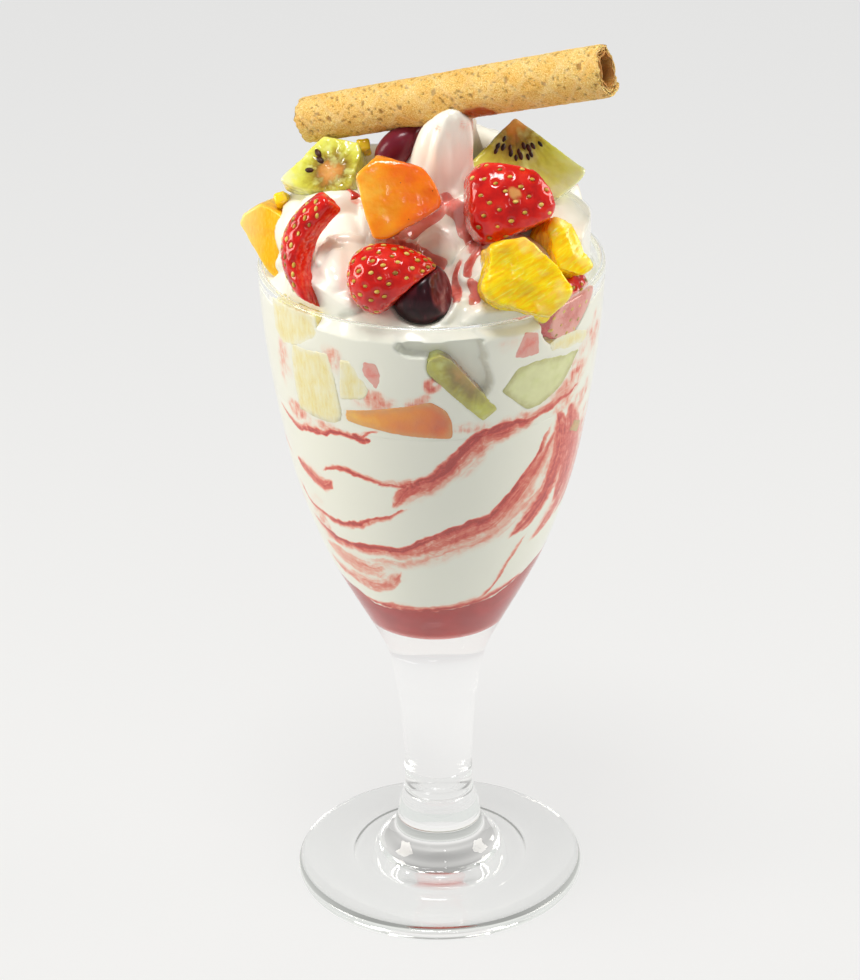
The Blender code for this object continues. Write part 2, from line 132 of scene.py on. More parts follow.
# The room is pale where it is seen, straight or through the glass: white walls under a greyer
# ceiling. It is dimmer where it lights the food or shines on the outside of things.
world = bpy.data.worlds.new("studio")
world.use_nodes = True
room = world.node_tree
path = add(room, "LightPath")
inside = add(room, "Math", {0: path.outputs["Transmission Depth"], 1: 0.5},
             operation="GREATER_THAN")
turned = add(room, "Math", {0: path.outputs["Is Glossy Ray"], 1: inside,
                            2: path.outputs["Is Transmission Ray"]}, operation="MULTIPLY_ADD")
seen = add(room, "Math", {0: turned, 1: path.outputs["Is Camera Ray"]}, operation="ADD",
           use_clamp=True)
way = add(room, "SeparateXYZ", {0: add(room, "TexCoord").outputs["Generated"]})
walls = add(room, "MapRange", {0: way.outputs[2], 1: 0.25, 2: 0.75, 3: ROOM_SEEN, 4: CEILING_SEEN})
strength = add(room, "MapRange", {0: seen, 3: ROOM_LIGHT, 4: walls})
feed(room.nodes["Background"], {"Color": "F8F7F4", "Strength": strength})
bpy.context.scene.world = world
bpy.context.scene.view_settings.view_transform = "Standard"

HEART_OF_FOOD = (0, 0, 185)
soft_box("left box", (-620, -60, 420), HEART_OF_FOOD, (280, 400), 2.7, "FFF8EE")
soft_box("right box", (600, 60, 400), HEART_OF_FOOD, (260, 420), 2.2, "FFFAF2")
soft_box("top box", (-60, -120, 800), HEART_OF_FOOD, (240, 180), 2.6)
soft_box("front strip", (150, -720, 620), HEART_OF_FOOD, (60, 160), 0.2)

# ---------------------------------------------------------------- glass
# Clear soda-lime glass, pressed in one piece and fire-polished: a tulip bowl on a solid stem,
# with a knob that flares into a wide foot, hollowed a little underneath.
GLASS_SIDES = 160
RIM = 182.0
BOWL_FLOOR = 80.0
BOWL_OUTSIDE = [
    (44.2, 181), (43.5, 168), (41.6, 152), (39.3, 138), (36.4, 124), (32.8, 112), (28.3, 100),
    (23.4, 90), (19.2, 82), (16.1, 76), (13.5, 70), (11.9, 63), (11.1, 58), (10.1, 50),
    (9.5, 42), (9.2, 32), (9.5, 25), (10.8, 20.5),
]
KNOB = [(11.1, 19.2), (11.5, 16), (13.2, 12.2), (15.7, 9.4)]
FOOT_TOP = [(16.2, 8.4), (21, 6.3), (29, 4.3), (37.6, 3.1)]
FOOT_EDGE = [(37.6, 3.1), (38.5, 2.7), (38.9, 2.0), (38.9, 0.9), (38.6, 0.3), (38.0, 0.0)]
FOOT_UNDERSIDE = [(24.5, 0.0), (23.2, 0.8), (14, 2.0), (0, 2.4)]
BOWL_INSIDE = [
    (0, 80), (8, 80.3), (12.6, 81.9), (15.2, 84), (20.4, 90), (25.4, 100), (30.1, 112),
    (33.8, 124), (36.9, 138), (39.4, 152), (41.5, 168), (42.4, 181),
]
RIM_LIP = [(42.4, 181), (42.55, 181.6), (43.0, 181.95), (43.6, 181.95), (44.05, 181.6),
           (44.2, 181)]


def smooth_line(points, step):
    """Points about `step` apart on a cubic curve through the given ones, in any dimension."""
    points = np.array(points, float)
    chords = np.linalg.norm(np.diff(points, axis=0), axis=1)
    along = np.concatenate([[0.0], np.cumsum(chords)])
    slope = np.gradient(points, along, axis=0)
    count = max(2, int(round(along[-1] / step)) + 1)
    where = np.linspace(0.0, along[-1], count)
    i = np.clip(np.searchsorted(along, where, side="right") - 1, 0, len(chords) - 1)
    t = ((where - along[i]) / chords[i])[:, None]
    span = chords[i][:, None]
    return ((2 * t**3 - 3 * t**2 + 1) * points[i] + (t**3 - 2 * t**2 + t) * span * slope[i]
            + (3 * t**2 - 2 * t**3) * points[i + 1] + (t**3 - t**2) * span * slope[i + 1])


INSIDE_LINE = smooth_line(BOWL_INSIDE, 0.8)


def bowl_radius(height):
    """Inner radius of the bowl at a height."""
    return np.interp(height, INSIDE_LINE[:, 1], INSIDE_LINE[:, 0])


def grid_faces(rows, columns, closed=True):
    """Corner numbers of the quads of a rows x columns grid of points, whose last column joins its
    first if it is closed."""
    start = np.arange(rows - 1)[:, None] * columns
    j = np.arange(columns if closed else columns - 1)
    over = (j + 1) % columns
    return np.stack([start + j, start + over, start + columns + over, start + columns + j],
                    -1).reshape(-1, 4)


def closed_faces(rows, columns, flipped=False):
    """(quads, triangles) of a grid of rings closed at both ends by fans to two poles, which come
    after the grid's points. They face outwards where the rings run upwards, unless `flipped`."""
    here = np.arange(columns)
    over = (here + 1) % columns
    count = rows * columns
    fans = np.concatenate([np.stack([np.full(columns, count), over, here], -1),
                           np.stack([np.full(columns, count + 1), count - columns + here,
                                     count - columns + over], -1)])
    way = -1 if flipped else 1
    return grid_faces(rows, columns)[:, ::way], fans[:, ::way]


def about_axis(radius, height, angle):
    """Points at a radius and a height, turned by an angle in degrees from -Y towards +X."""
    turn = np.radians(angle)
    return np.stack(np.broadcast_arrays(radius * np.sin(turn), -radius * np.cos(turn), height), -1)


def new_piece(name, points, faces, material, slot, nodes=(), **values):
    """One smooth mesh object from points in millimetres and (quads, triangles), with `values` as
    its point attributes."""
    quads, triangles = faces
    corners = np.concatenate([np.ravel(quads), np.ravel(triangles)]).astype(np.int32)
    starts = np.concatenate([
        4 * np.arange(len(quads)), 4 * len(quads) + 3 * np.arange(len(triangles))])
    mesh = bpy.data.meshes.new(name)
    mesh.vertices.add(len(points))
    mesh.vertices.foreach_set("co", (np.asarray(points, float) * MM).ravel())
    mesh.loops.add(len(corners))
    mesh.loops.foreach_set("vertex_index", corners)
    mesh.polygons.add(len(starts))
    mesh.polygons.foreach_set("loop_start", starts.astype(np.int32))
    mesh.update(calc_edges=True)
    mesh.validate()
    mesh.shade_smooth()
    for label, value in values.items():
        value = np.asarray(value, np.float32)
        kind, key = ("FLOAT", "value") if value.ndim == 1 else ("FLOAT_VECTOR", "vector")
        mesh.attributes.new(label, kind, "POINT").data.foreach_set(key, value.ravel())
    mesh.materials.append(material)
    made = bpy.data.objects.new(name, mesh)
    bpy.context.scene.collection.objects.link(made)
    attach(made, "root")
    if nodes:
        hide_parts(*nodes)


glass_line = np.concatenate([
    INSIDE_LINE, smooth_line(RIM_LIP, 0.18)[1:-1], smooth_line(BOWL_OUTSIDE, 1.2),
    smooth_line(KNOB + FOOT_TOP, 0.7), smooth_line(FOOT_EDGE, 0.3)[1:],
    smooth_line(FOOT_UNDERSIDE, 0.9)[1:],
])
clear, tree, shader = finish("Soda-lime glass", Base_Color="FFFFFF", Roughness=0.0, IOR=1.5,
                             Transmission_Weight=1.0)
# Light on its way to the food passes straight through, so the wall throws no black shadow.
light_path = add(tree, "LightPath")
straight = add(tree, "Math", {0: light_path.outputs["Is Shadow Ray"],
                              1: light_path.outputs["Is Diffuse Ray"]}, operation="MAXIMUM")
# Light caught between the faces gets out after a few turns, as it does in a real foot.
caught = add(tree, "Math", {0: light_path.outputs["Glossy Depth"], 1: 2.5},
             operation="GREATER_THAN")
passes = add(tree, "Math", {0: straight, 1: caught}, operation="MAXIMUM")
through = add(tree, "BsdfTransparent", {"Color": "F7FAF8"})
mixed = add(tree, "MixShader", {0: passes, 1: shader, 2: through})
feed(tree.nodes["Material Output"], {"Surface": mixed})
# The line is carried round the axis as (radius, height); its two ends are the poles.
rings = about_axis(glass_line[1:-1, :1], glass_line[1:-1, 1:],
                   np.linspace(0, 360, GLASS_SIDES, endpoint=False))
poles = [(0, 0, glass_line[0, 1]), (0, 0, glass_line[-1, 1])]
new_piece("sundae_glass", np.concatenate([rings.reshape(-1, 3), poles]),
          closed_faces(*rings.shape[:2], flipped=True), clear, "glass", ["glass"])

# ---------------------------------------------------------------- strawberry sauce
# Cooked strawberry sauce that has run to the bottom of the bowl: a deep pink-red pool, a little
# cloudy, whose top climbs towards the right. It is poured in first and meets the glass.
WALL_BITE = 0.25             # how far what fills the bowl reaches into the glass
POOL_TOP = [
    (-180, 98), (-120, 97), (-75, 97.5), (-53, 95.3), (-44, 92.2), (-28, 92.6), (-10, 93.0),
    (9, 93.2), (18, 94.1), (31, 95), (41, 96.3), (49, 98.2), (60, 101.5), (80, 105), (120, 103),
    (180, 98),
]
NOISE_SIZE = 32


def noise(points, size, seed):
    """Smooth random field from -1 to 1 at points (..., 3), with lumps about `size` mm across:
    random numbers on the whole-number lattice, blended by a cubic between its corners."""
    lattice = np.random.default_rng(seed).uniform(-1, 1, (NOISE_SIZE,) * 3)
    where = np.asarray(points, float) / size + 0.37 * seed
    cell = np.floor(where).astype(int)
    part = where - cell
    part = part * part * (3 - 2 * part)
    total = 0.0
    for corner in range(8):
        step = np.array([corner & 1, corner >> 1 & 1, corner >> 2])
        x, y, z = np.moveaxis((cell + step) % NOISE_SIZE, -1, 0)
        total = total + lattice[x, y, z] * np.prod(np.where(step, part, 1 - part), axis=-1)
    return total


def step_up(value, low, high):
    """0 below `low`, 1 above `high`, and a smooth cubic between."""
    t = np.clip((value - low) / (high - low), 0, 1)
    return t * t * (3 - 2 * t)


def wall_points(angle, height, bite=0.0):
    """Points on the bowl's inner wall, moved into the glass by `bite`; angle in degrees."""
    return about_axis(bowl_radius(height) + bite, height, angle)


def pool_top(angle):
    """Height of the pool's ragged upper edge at an angle in degrees."""
    turns, heights = np.array(POOL_TOP, float).T
    edge = np.interp((angle + 180) % 360 - 180, turns, heights)
    ring = about_axis(30, edge, angle)
    return edge + 0.45 * noise(ring, 3.0, 3) + 0.25 * noise(ring, 0.9, 4)


POOL_SIDES, POOL_ROWS = 400, 42
SINK = 0.2                   # how far the sauce lies in the bowl's floor, in mm
angles = np.linspace(0, 360, POOL_SIDES, endpoint=False)
floor_line = smooth_line(BOWL_INSIDE[:4], 0.8)[1:] - (0, SINK)
floor_edge = BOWL_INSIDE[3][1]
heights = floor_edge + (pool_top(angles) - floor_edge) * np.linspace(0, 1, POOL_ROWS)[1:, None]
side = wall_points(angles, heights, WALL_BITE)
rings = np.concatenate([about_axis(floor_line[:, :1], floor_line[:, 1:], angles), side,
                        side[-1:] * (0.5, 0.5, 1)])
poles = [(0, 0, BOWL_FLOOR - SINK), (0, 0, 94)]
sauce, tree, shader = finish(
    "Cooked strawberry sauce", Roughness=0.25, IOR=1.36, Subsurface_Weight=0.35,
    Subsurface_Scale=0.002)
where = add(tree, "TexCoord").outputs["Object"]
cloud = add(tree, "TexNoise", {"Vector": where, "Scale": 160.0, "Detail": 4.0, "Roughness": 0.6})
level = add(tree, "SeparateXYZ", {0: where})
height = add(tree, "MapRange", {0: level.outputs[2], 1: 0.080, 2: 0.096})
shade = add(tree, "ValToRGB", {0: height}, stops=[(0.0, "E0523C"), (0.16, "C2413C"),
                                                  (0.55, "BE4A48"), (1.0, "C8463E")])
lumpy = add(tree, "ValToRGB", {0: cloud}, stops=[(0.4, "9A9A9A"), (0.66, "FFFFFF")])
tinted = add(tree, "Mix", {0: 0.25, 6: shade, 7: lumpy}, data_type="RGBA", blend_type="MULTIPLY")
feed(shader, {"Base Color": tinted})
new_piece("strawberry_sauce", np.concatenate([rings.reshape(-1, 3), poles]),
          closed_faces(*rings.shape[:2]), sauce, "sauce", ["sauce_pool"])

# ---------------------------------------------------------------- marbled ice cream
# Soft vanilla ice cream scooped in over sauce, so that the sauce is smeared up the wall in
# torn, feathery streaks that wind round the bowl and rise to the right.
ICE_CREAM_TOP = 150.0
# Each streak: its route as (angle, height), half-width in mm at its ends and middle, how deep
# its colour is, and how far it feathers (+ above, - below, in mm).
STREAKS = [
    ([(-75, 148), (-62, 145), (-51, 146.2), (-41, 147.6), (-33, 148.6), (-29, 148), (-24, 150),
      (-18, 151)], 0.3, 0.75, 0.85, 0.8),
    ([(-31, 149.5), (-27, 147.8), (-23, 148.2)], 0.6, 1.1, 1.0, 0.5),
    ([(-15, 131), (-10, 135), (-3, 138.6), (3, 141.2), (8, 144.6), (12, 148), (17.5, 151),
      (24, 152.2), (31, 152.4), (40, 150.6)], 0.4, 1.5, 1.0, -3.6),
    ([(-68, 134), (-60, 131.6), (-52, 130.4), (-47, 130.6), (-44, 133)], 1.6, 1.9, 0.62, 1.2),
    ([(-50, 134), (-42, 137), (-34, 137.4), (-27, 136.2), (-20, 135.6), (-12, 135.7), (-5, 137.8),
      (2, 142), (7, 146)], 0.35, 0.7, 0.8, 0.9),
    ([(6, 142.6), (0, 139.4), (-6, 136.4), (-11, 134), (-15, 131), (-18, 128)], 1.0, 2.2, 0.6,
     -1.5),
    ([(30, 152.2), (38, 151.6), (46, 152.8), (54, 154.6), (63, 156)], 0.5, 1.1, 0.6, 1.4),
    ([(-74, 127), (-67, 121.5), (-58, 119.8), (-48, 119.9), (-38, 121), (-30, 122.6), (-22, 124.4),
      (-14, 127.6), (-9, 129.4)], 0.35, 0.6, 0.75, -0.7),
    ([(-72, 117.5), (-60, 114.2), (-50, 113.2), (-38, 113.4), (-28, 114), (-16, 115.3),
      (-6, 118.4), (5, 121.8), (15, 123.6), (24, 125.6), (30, 129.8), (36, 134.4), (41, 139.5),
      (45, 144.5), (48, 149)], 0.4, 1.1, 1.0, -2.2),
    ([(-40, 108.5), (-28, 109.5), (-17, 110.4), (-3, 113.2), (9, 115.6), (20, 117), (30, 120.5),
      (38, 124), (47, 128.6), (55, 134)], 0.6, 1.3, 0.26, -1.8),
    ([(-20, 112.5), (-8, 115), (4, 118), (15, 120), (25, 122.5), (33, 127.4), (40, 134), (47, 141),
      (54, 149)], 0.8, 2.2, 0.5, -3.0),
    ([(49, 152), (54, 145), (56, 138), (54, 131), (49, 124.5), (42, 119.5), (33, 115.5)], 2.2, 4.0,
     0.72, 1.0),
    ([(57, 152), (61, 144), (64, 136), (64, 128), (59, 120)], 2.6, 4.4, 0.66, 1.5),
    ([(60, 150), (67, 141), (70, 131), (67, 122), (59, 115.5), (48, 110.5)], 1.8, 3.6, 0.5, 2.0),
    ([(66, 114), (74, 120), (80, 130), (85, 141), (89, 152)], 1.0, 2.6, 0.6, 2.0),
    ([(18, 94.5), (26, 96.6), (32, 99.4), (36, 103.2), (39, 107.4), (42, 111), (46, 116)], 0.35,
     0.5, 0.45, 0.6),
    ([(-70, 104), (-58, 101.5), (-48, 100.3), (-38, 99.4), (-28, 100.6), (-21, 103.5), (-17, 108)],
     0.7, 1.6, 0.42, 2.6),
    ([(-66, 110), (-50, 107), (-36, 105.5), (-24, 107)], 1.6, 3.4, 0.28, 1.0),
    ([(-56, 95.5), (-45, 93), (-28, 93.2), (0, 93.6), (20, 94.8), (40, 97), (58, 101)], 0.5, 0.8,
     0.8, 1.2),
    ([(83, 126), (95, 118), (115, 112), (140, 116), (165, 124), (190, 130), (215, 135), (245, 138),
      (275, 136), (292, 132)], 0.8, 2.2, 0.9, -3.0),
    ([(72, 147), (88, 140), (110, 134), (135, 139), (160, 146), (185, 148), (215, 146), (250, 149),
      (285, 148)], 0.5, 1.6, 0.85, 2.0),
    ([(110, 104), (140, 106), (175, 112), (210, 116), (245, 118), (275, 120), (290, 118)], 1.0,
     2.8, 0.7, -2.6),
]

# Froth: where melting cream has foamed pink round the fruit: angle, height, half-width and
# half-height in mm, depth of colour.
FROTH = [
    (-56, 150, 9, 4, 0.42), (-20, 160.5, 8, 3.5, 0.45), (-6, 161, 5, 3, 0.5), (52, 155, 9, 7, 0.4),
    (0, 166, 3, 2.5, 0.55), (30, 152.5, 9, 3.5, 0.45), (-36, 170, 3.5, 5, 0.35),
    (-62, 163, 4, 9, 0.3), (70, 166, 7, 8, 0.35), (-44, 149.5, 7, 2.5, 0.4),
    (14, 153, 8, 2.5, 0.4), (27, 176, 5, 4, 0.25), (56, 136, 10, 13, 0.42),
    (70, 133, 12, 15, 0.62), (-30, 106, 12, 4, 0.28), (-60, 116, 6, 10, 0.25),
    (60, 160, 7, 7, 0.45), (66, 150, 9, 5, 0.4), (120, 158, 14, 8, 0.35), (185, 160, 16, 8, 0.35),
    (240, 158, 14, 8, 0.35),
]


def to_route(angle, height, route):
    """Where points on the unrolled wall lie by a route: (share of the way along it, signed
    distance above it in mm, its whole length in mm)."""
    route = smooth_line(np.array(route, float), 3.0)
    middle = route[:, 0].mean()
    angle = (angle - middle + 180) % 360 - 180 + middle
    wide = np.radians(1.0) * bowl_radius(route[:, 1].mean())
    across = np.stack([angle * wide, height], -1)[..., None, :]
    line = route * (wide, 1.0)
    start, run = line[:-1], np.diff(line, axis=0)
    length = np.linalg.norm(run, axis=1)
    part = np.clip(((across - start) * run).sum(-1) / length**2, 0, 1)
    gap = across - (start + part[..., None] * run)
    far = np.linalg.norm(gap, axis=-1)
    best = far.argmin(-1)[..., None]
    side = np.sign(run[:, 0] * gap[..., 1] - run[:, 1] * gap[..., 0]) * np.sign(run[:, 0].sum())
    along = np.concatenate([[0.0], np.cumsum(length)])[:-1] + part * length
    along, above = (np.take_along_axis(values, best, -1)[..., 0] for values in (along, side * far))
    return along / length.sum(), above, length.sum()


def marbling(angle, height):
    """Sauce smeared at each place on the wall: its share, 0 to 1, and its flow, which is the
    distance along its streak, the distance above it and a number of its own, in mm."""
    where = wall_points(angle, height)
    drift = 0.9 * noise(where, 7.0, 11) + 0.45 * noise(where, 2.4, 12)
    shiver = 0.30 * noise(where, 1.1, 13)
    most = np.zeros(np.shape(height))
    flow = np.stack([where[..., 2], where[..., 0], where[..., 1]], -1)
    for k, (route, narrow, broad, deep, feather) in enumerate(STREAKS):
        along, above, length = to_route(angle, height + drift, route)
        above = above + shiver
        swell = np.sin(np.pi * np.clip(along, 0.02, 0.98))
        drawn_out = step_up(along, 0.0, 0.22) * (1 - step_up(along, 0.78, 1.0))
        thick = (narrow + (broad - narrow) * swell) * (0.25 + 0.75 * drawn_out)
        along_mm = along * length
        lumps = 0.5 + 0.5 * noise(np.stack([along_mm, above * 1.5, above * 0 + 7 * k], -1), 4.0,
                                  80 + k)
        core = 1 - step_up(np.abs(above), 0.35 * thick, 1.2 * thick)
        beside = above * np.sign(feather)
        reach = abs(feather) * (0.7 + 1.4 * lumps) * (0.4 + 0.6 * swell)
        plume = np.where(beside > 0, 1 - step_up(beside, 0.1 * reach, reach + 1.2 * thick), 0.0)
        ends = step_up(along, 0.0, 0.10) * (1 - step_up(along, 0.90, 1.0))
        sauce_here = deep * np.maximum(core, 0.66 * plume) * ends
        flow = np.where((sauce_here > most)[..., None],
                        np.stack([along_mm, above, above * 0 + 31 * k], -1), flow)
        most = np.maximum(most, sauce_here)
    for place_angle, place_height, wide, high, deep in FROTH:
        off = np.hypot(((angle - place_angle + 180) % 360 - 180) * 0.72 / wide,
                       (height - place_height) / high)
        patch = deep * (1 - step_up(off + 0.35 * noise(where, 3.0, 15), 0.3, 1.0))
        most = np.maximum(most, patch * (0.55 + 0.45 * noise(where, 1.6, 16)))
    return np.clip(most, 0, 1), flow


def dairy(name, roughness):
    """Cream that takes sauce: the point attribute `sauce` is its share, and `flow` the way it was
    drawn out, along which fine threads of it lie side by side."""
    made, tree, shader = finish(name, Roughness=roughness, IOR=1.42, Subsurface_Weight=0.15,
                                Subsurface_Scale=0.001, Subsurface_Radius=(1.0, 1.0, 0.9),
                                Coat_Weight=0.5, Coat_Roughness=0.07)
    amount = add(tree, "Attribute", attribute_name="sauce").outputs["Fac"]
    flow = add(tree, "Attribute", attribute_name="flow").outputs["Vector"]
    drawn = add(tree, "VectorMath", {0: flow, 1: (0.06, 1.2, 1.0)}, operation="MULTIPLY")
    threads = add(tree, "TexNoise", {"Vector": drawn, "Scale": 1.0, "Detail": 6.0,
                                     "Roughness": 0.62, "Distortion": 0.5})
    where = add(tree, "TexCoord").outputs["Object"]
    cloud = add(tree, "TexNoise", {"Vector": where, "Scale": 420.0, "Detail": 6.0,
                                   "Roughness": 0.65, "Distortion": 0.8})
    both = add(tree, "Math", {0: threads, 1: cloud}, operation="ADD")
    thready = add(tree, "MapRange", {0: both, 1: 0.72, 2: 1.28, 3: 0.35, 4: 1.65}, clamp=False)
    torn = add(tree, "Math", {0: amount, 1: thready}, operation="MULTIPLY")
    ramp = add(tree, "ValToRGB", {0: torn}, stops=[(0.0, "F6F4E7"), (0.10, "F6E9DA"),
                                                   (0.24, "F4B8A2"), (0.45, "E87660"),
                                                   (0.72, "D84836"), (1.0, "BC2A1E")])
    feed(shader, {"Base Color": ramp})
    return made


ICE_SIDES, ICE_ROWS = 620, 136
TUCK = 0.5                   # how far its top turns in under the whipped cream, in mm
angles = np.linspace(0, 360, ICE_SIDES, endpoint=False)
bottom = pool_top(angles) - 0.15
heights = bottom + (ICE_CREAM_TOP + TUCK - bottom) * np.linspace(0, 1, ICE_ROWS)[:, None]
bite = WALL_BITE - 0.6 * step_up(heights, ICE_CREAM_TOP, ICE_CREAM_TOP + TUCK)
side = wall_points(angles, heights, bite)
rings = np.concatenate([side[:1] * (0.6, 0.6, 1), side, side[-1:] * (0.6, 0.6, 1)])
poles = [(0, 0, 96), (0, 0, ICE_CREAM_TOP)]
streaks, flow = (np.concatenate([found[:1], found, found[-1:]])
                 for found in marbling(np.broadcast_to(angles, heights.shape), heights))
new_piece("marbled_ice_cream", np.concatenate([rings.reshape(-1, 3), poles]),
          closed_faces(*rings.shape[:2]), dairy("Vanilla ice cream with sauce", 0.4), "ice_cream",
          ["ice_cream"], sauce=np.append(streaks, [0, 0]),
          flow=np.append(flow.reshape(-1, 3), np.zeros((2, 3)), axis=0))

# ---------------------------------------------------------------- knife-cut fruit
# Fresh fruit cut by hand with a small knife: every piece is a berry's own skin or a block of
# flesh, less what each flat cut took away. All are pressed into the cream or against the glass.
KNIFE_EDGE = 0.30            # how softly two cuts meet, in mm
NO_SCAR = (99.0, 99.0)       # far off any face
FRUIT = {}                   # name of each piece -> its shape as a function of world points
MIDDLES = {}                 # name of each piece -> the place deepest inside it, and its reach
KIWIS = {}                   # name of each kiwi piece -> its axes and place, heart and face


def facing_axes(facing):
    """Rows right, up and out of a piece; yaw 0 faces -Y, lean tips the face up, spin turns it."""
    yaw, lean, spin = np.radians(facing)
    out = np.array([np.sin(yaw) * np.cos(lean), -np.cos(yaw) * np.cos(lean), np.sin(lean)])
    right = np.array([np.cos(yaw), np.sin(yaw), 0.0])
    up = np.cross(out, right)
    return np.array([np.cos(spin) * right + np.sin(spin) * up,
                     np.cos(spin) * up - np.sin(spin) * right, out])


def on_glass(angle, height, lean=0, spin=0, inward=0.0):
    """(place, facing) of a piece that lies on the bowl's inner wall and faces out of it."""
    return wall_points(angle, height, -inward), (angle, lean, spin)


def knife_planes(outline, front, back, cuts):
    """Normals and distances of every flat cut, from a convex outline listed clockwise."""
    corners = np.array(outline, float).reshape(-1, 2)
    following = np.roll(corners, -1, axis=0)
    run = following - corners
    normals = np.stack([-run[:, 1], run[:, 0], np.zeros(len(run))], -1)
    normals /= np.maximum(np.linalg.norm(normals, axis=1), 1e-9)[:, None]
    planes = [(n, n[:2] @ c) for n, c in zip(normals, corners)]
    planes += [((0, 0, 1), front)] if front is not None else []
    planes += [((0, 0, -1), back)] if back is not None else []
    planes += [(np.array(n) / np.linalg.norm(n), d) for n, d in cuts]
    return np.array([n for n, d in planes], float), np.array([d for n, d in planes], float)


def skin_gap(local, skin):
    """Rough signed distance from a tapered ellipsoid (u, v, w, long, wide, deep, taper)."""
    u, v, w, long, wide, deep, taper = skin
    x = (local[..., 0] - u) / long
    narrow = np.clip(1 - taper * (x + 1) / 2, 0.2, 1.2)
    y = (local[..., 1] - v) / (wide * narrow)
    z = (local[..., 2] - w) / (deep * narrow)
    return (np.sqrt(x * x + y * y + z * z) - 1) * min(long, wide, deep)


def room_gap(points):
    """Negative where the bowl, or the open air above its rim, leaves room for food."""
    radius = np.hypot(points[..., 0], points[..., 1])
    height = points[..., 2]
    return np.minimum(radius - bowl_radius(height) - WALL_BITE, RIM + 0.15 - height)


def blend_out(gaps, width):
    """Rounded greatest value over the last axis."""
    most = gaps.max(axis=-1)
    return most + width * np.log(np.exp((gaps - most[..., None]) / width).sum(axis=-1))


def make_shape(at, facing, outline, front, back, skin, cuts, bend, after):
    """Functions of world points: their place in the piece's own axes, then their rough signed
    distance from its cuts, from its skin, and from the whole piece."""
    axes, at = facing_axes(facing), np.array(at, float)
    normals, distances = knife_planes(outline, front, back, cuts)

    def local(points):
        place = (points - at) @ axes.T
        place[..., 1] -= bend * place[..., 0] ** 2
        return place

    def cut_gap(points):
        return blend_out(local(points) @ normals.T - distances, KNIFE_EDGE)

    def hull_gap(points):
        return skin_gap(local(points), skin) if skin else np.full(points.shape[:-1], -50.0)

    def whole(points):
        gaps = [cut_gap(points), hull_gap(points)]
        gaps += [0.1 - FRUIT[name](points) for name in after]
        return np.maximum(blend_out(np.stack(gaps, -1), KNIFE_EDGE), room_gap(points))

    return local, cut_gap, hull_gap, whole


def out_from(centre, shape, around, along, axis, reach):
    """Closed surface: along each direction from the centre, where the shape's value first
    turns positive. Rings run from pole to pole about `axis`; returns points and faces."""
    spin = np.linspace(0, 2 * np.pi, around, endpoint=False)
    tilt = np.linspace(0, np.pi, along + 2)[1:-1]
    side = np.cross(axis, (0.3, 0.5, 0.8))
    side /= np.linalg.norm(side)
    other = np.cross(axis, side)
    ways = (np.cos(tilt)[:, None, None] * axis + np.sin(tilt)[:, None, None] * (
        np.cos(spin)[None, :, None] * side + np.sin(spin)[None, :, None] * other))
    ways = np.concatenate([ways.reshape(-1, 3), [axis], [-axis]])
    marks = np.linspace(0, reach, 30)
    values = np.stack([shape(centre + m * ways) for m in marks], -1)
    first = np.argmax(values > 0, axis=-1)
    low, high = marks[np.maximum(first - 1, 0)], marks[first]
    for _ in range(12):
        middle = (low + high) / 2
        outside = shape(centre + middle[:, None] * ways) > 0
        low, high = np.where(outside, low, middle), np.where(outside, middle, high)
    points = centre + ((low + high) / 2)[:, None] * ways
    return points, closed_faces(along, around, flipped=True)


def slopes(shape, points, step=0.12):
    """Unit normals of a shape's surface from its differences along x, y and z."""
    found = np.stack([shape(points + d) - shape(points - d) for d in np.eye(3) * step], -1)
    return found / np.maximum(np.linalg.norm(found, axis=-1, keepdims=True), 1e-9)


def fruit(kind, name, at, facing, outline=(), front=None, back=None, skin=None, cuts=(),
          bend=0.0, after=(), heart=(0, 0), core=1.0, fine=1.0, scar=NO_SCAR):
    """Cuts one piece and dresses it as its kind: `kind` is (material, slot, relief), where
    relief gives how far the surface stands out at local points with their masks. `after` names
    the pieces it makes way for. `heart` is the middle of the fruit it was cut from, seen on its
    face, and `core` how big that middle is. `scar` is the place of a bruise on the face."""
    material, slot, relief = kind
    local, cut_gap, hull_gap, whole = make_shape(
        at, facing, outline, front, back, skin, cuts, bend, after)
    FRUIT[name] = whole
    spread = np.random.default_rng(5).uniform(-1, 1, (6000, 3)) * 14 + at
    inner = whole(spread)
    centre = spread[inner.argmin()]
    axes = facing_axes(facing)
    points, faces = out_from(centre, whole, int(150 * fine), int(92 * fine), axes[0], 27.0)
    on_skin = step_up(hull_gap(points) - cut_gap(points), -0.35, 0.35)
    pressed = step_up(room_gap(points), -0.5, -0.05)
    border = pressed * step_up(np.maximum(cut_gap(points), hull_gap(points)), -2.2, -0.1)
    place = local(points)
    lift = relief(place, on_skin, heart) * (1 - pressed)
    points = points + slopes(whole, points) * lift[:, None]
    place[:, :2] = (place[:, :2] - heart) / core
    if slot == "kiwi":
        KIWIS[name] = (axes, np.array(at, float)), np.array(heart), front
    bruise = 1 - step_up(np.hypot(*(place[:, :2] - scar).T) + 0.9 * noise(place, 1.1, 74), 1.2,
                         1.9)
    MIDDLES[name] = centre, np.linalg.norm(points - centre, axis=1).max() + 0.8
    new_piece(name + "_flesh", points, faces, material, slot, [name], place=place, skin=on_skin,
              pressed=pressed, border=border, bruise=bruise)


def flesh(name, colour, roughness, depth, weight, radius, coat=0.6):
    """Wet fruit flesh: light sinks in and scatters, under a thin shine of juice. `colour` is the
    plain colour, where no pattern takes its place, and `place` the position on the piece."""
    made, tree, shader = finish(name, Base_Color=colour, Roughness=roughness, IOR=1.38,
                                Subsurface_Weight=weight, Subsurface_Scale=depth, Coat_Weight=coat,
                                Subsurface_Radius=radius, Coat_Roughness=0.06, Coat_IOR=1.34)
    place = add(tree, "Attribute", attribute_name="place").outputs["Vector"]
    return made, tree, shader, place


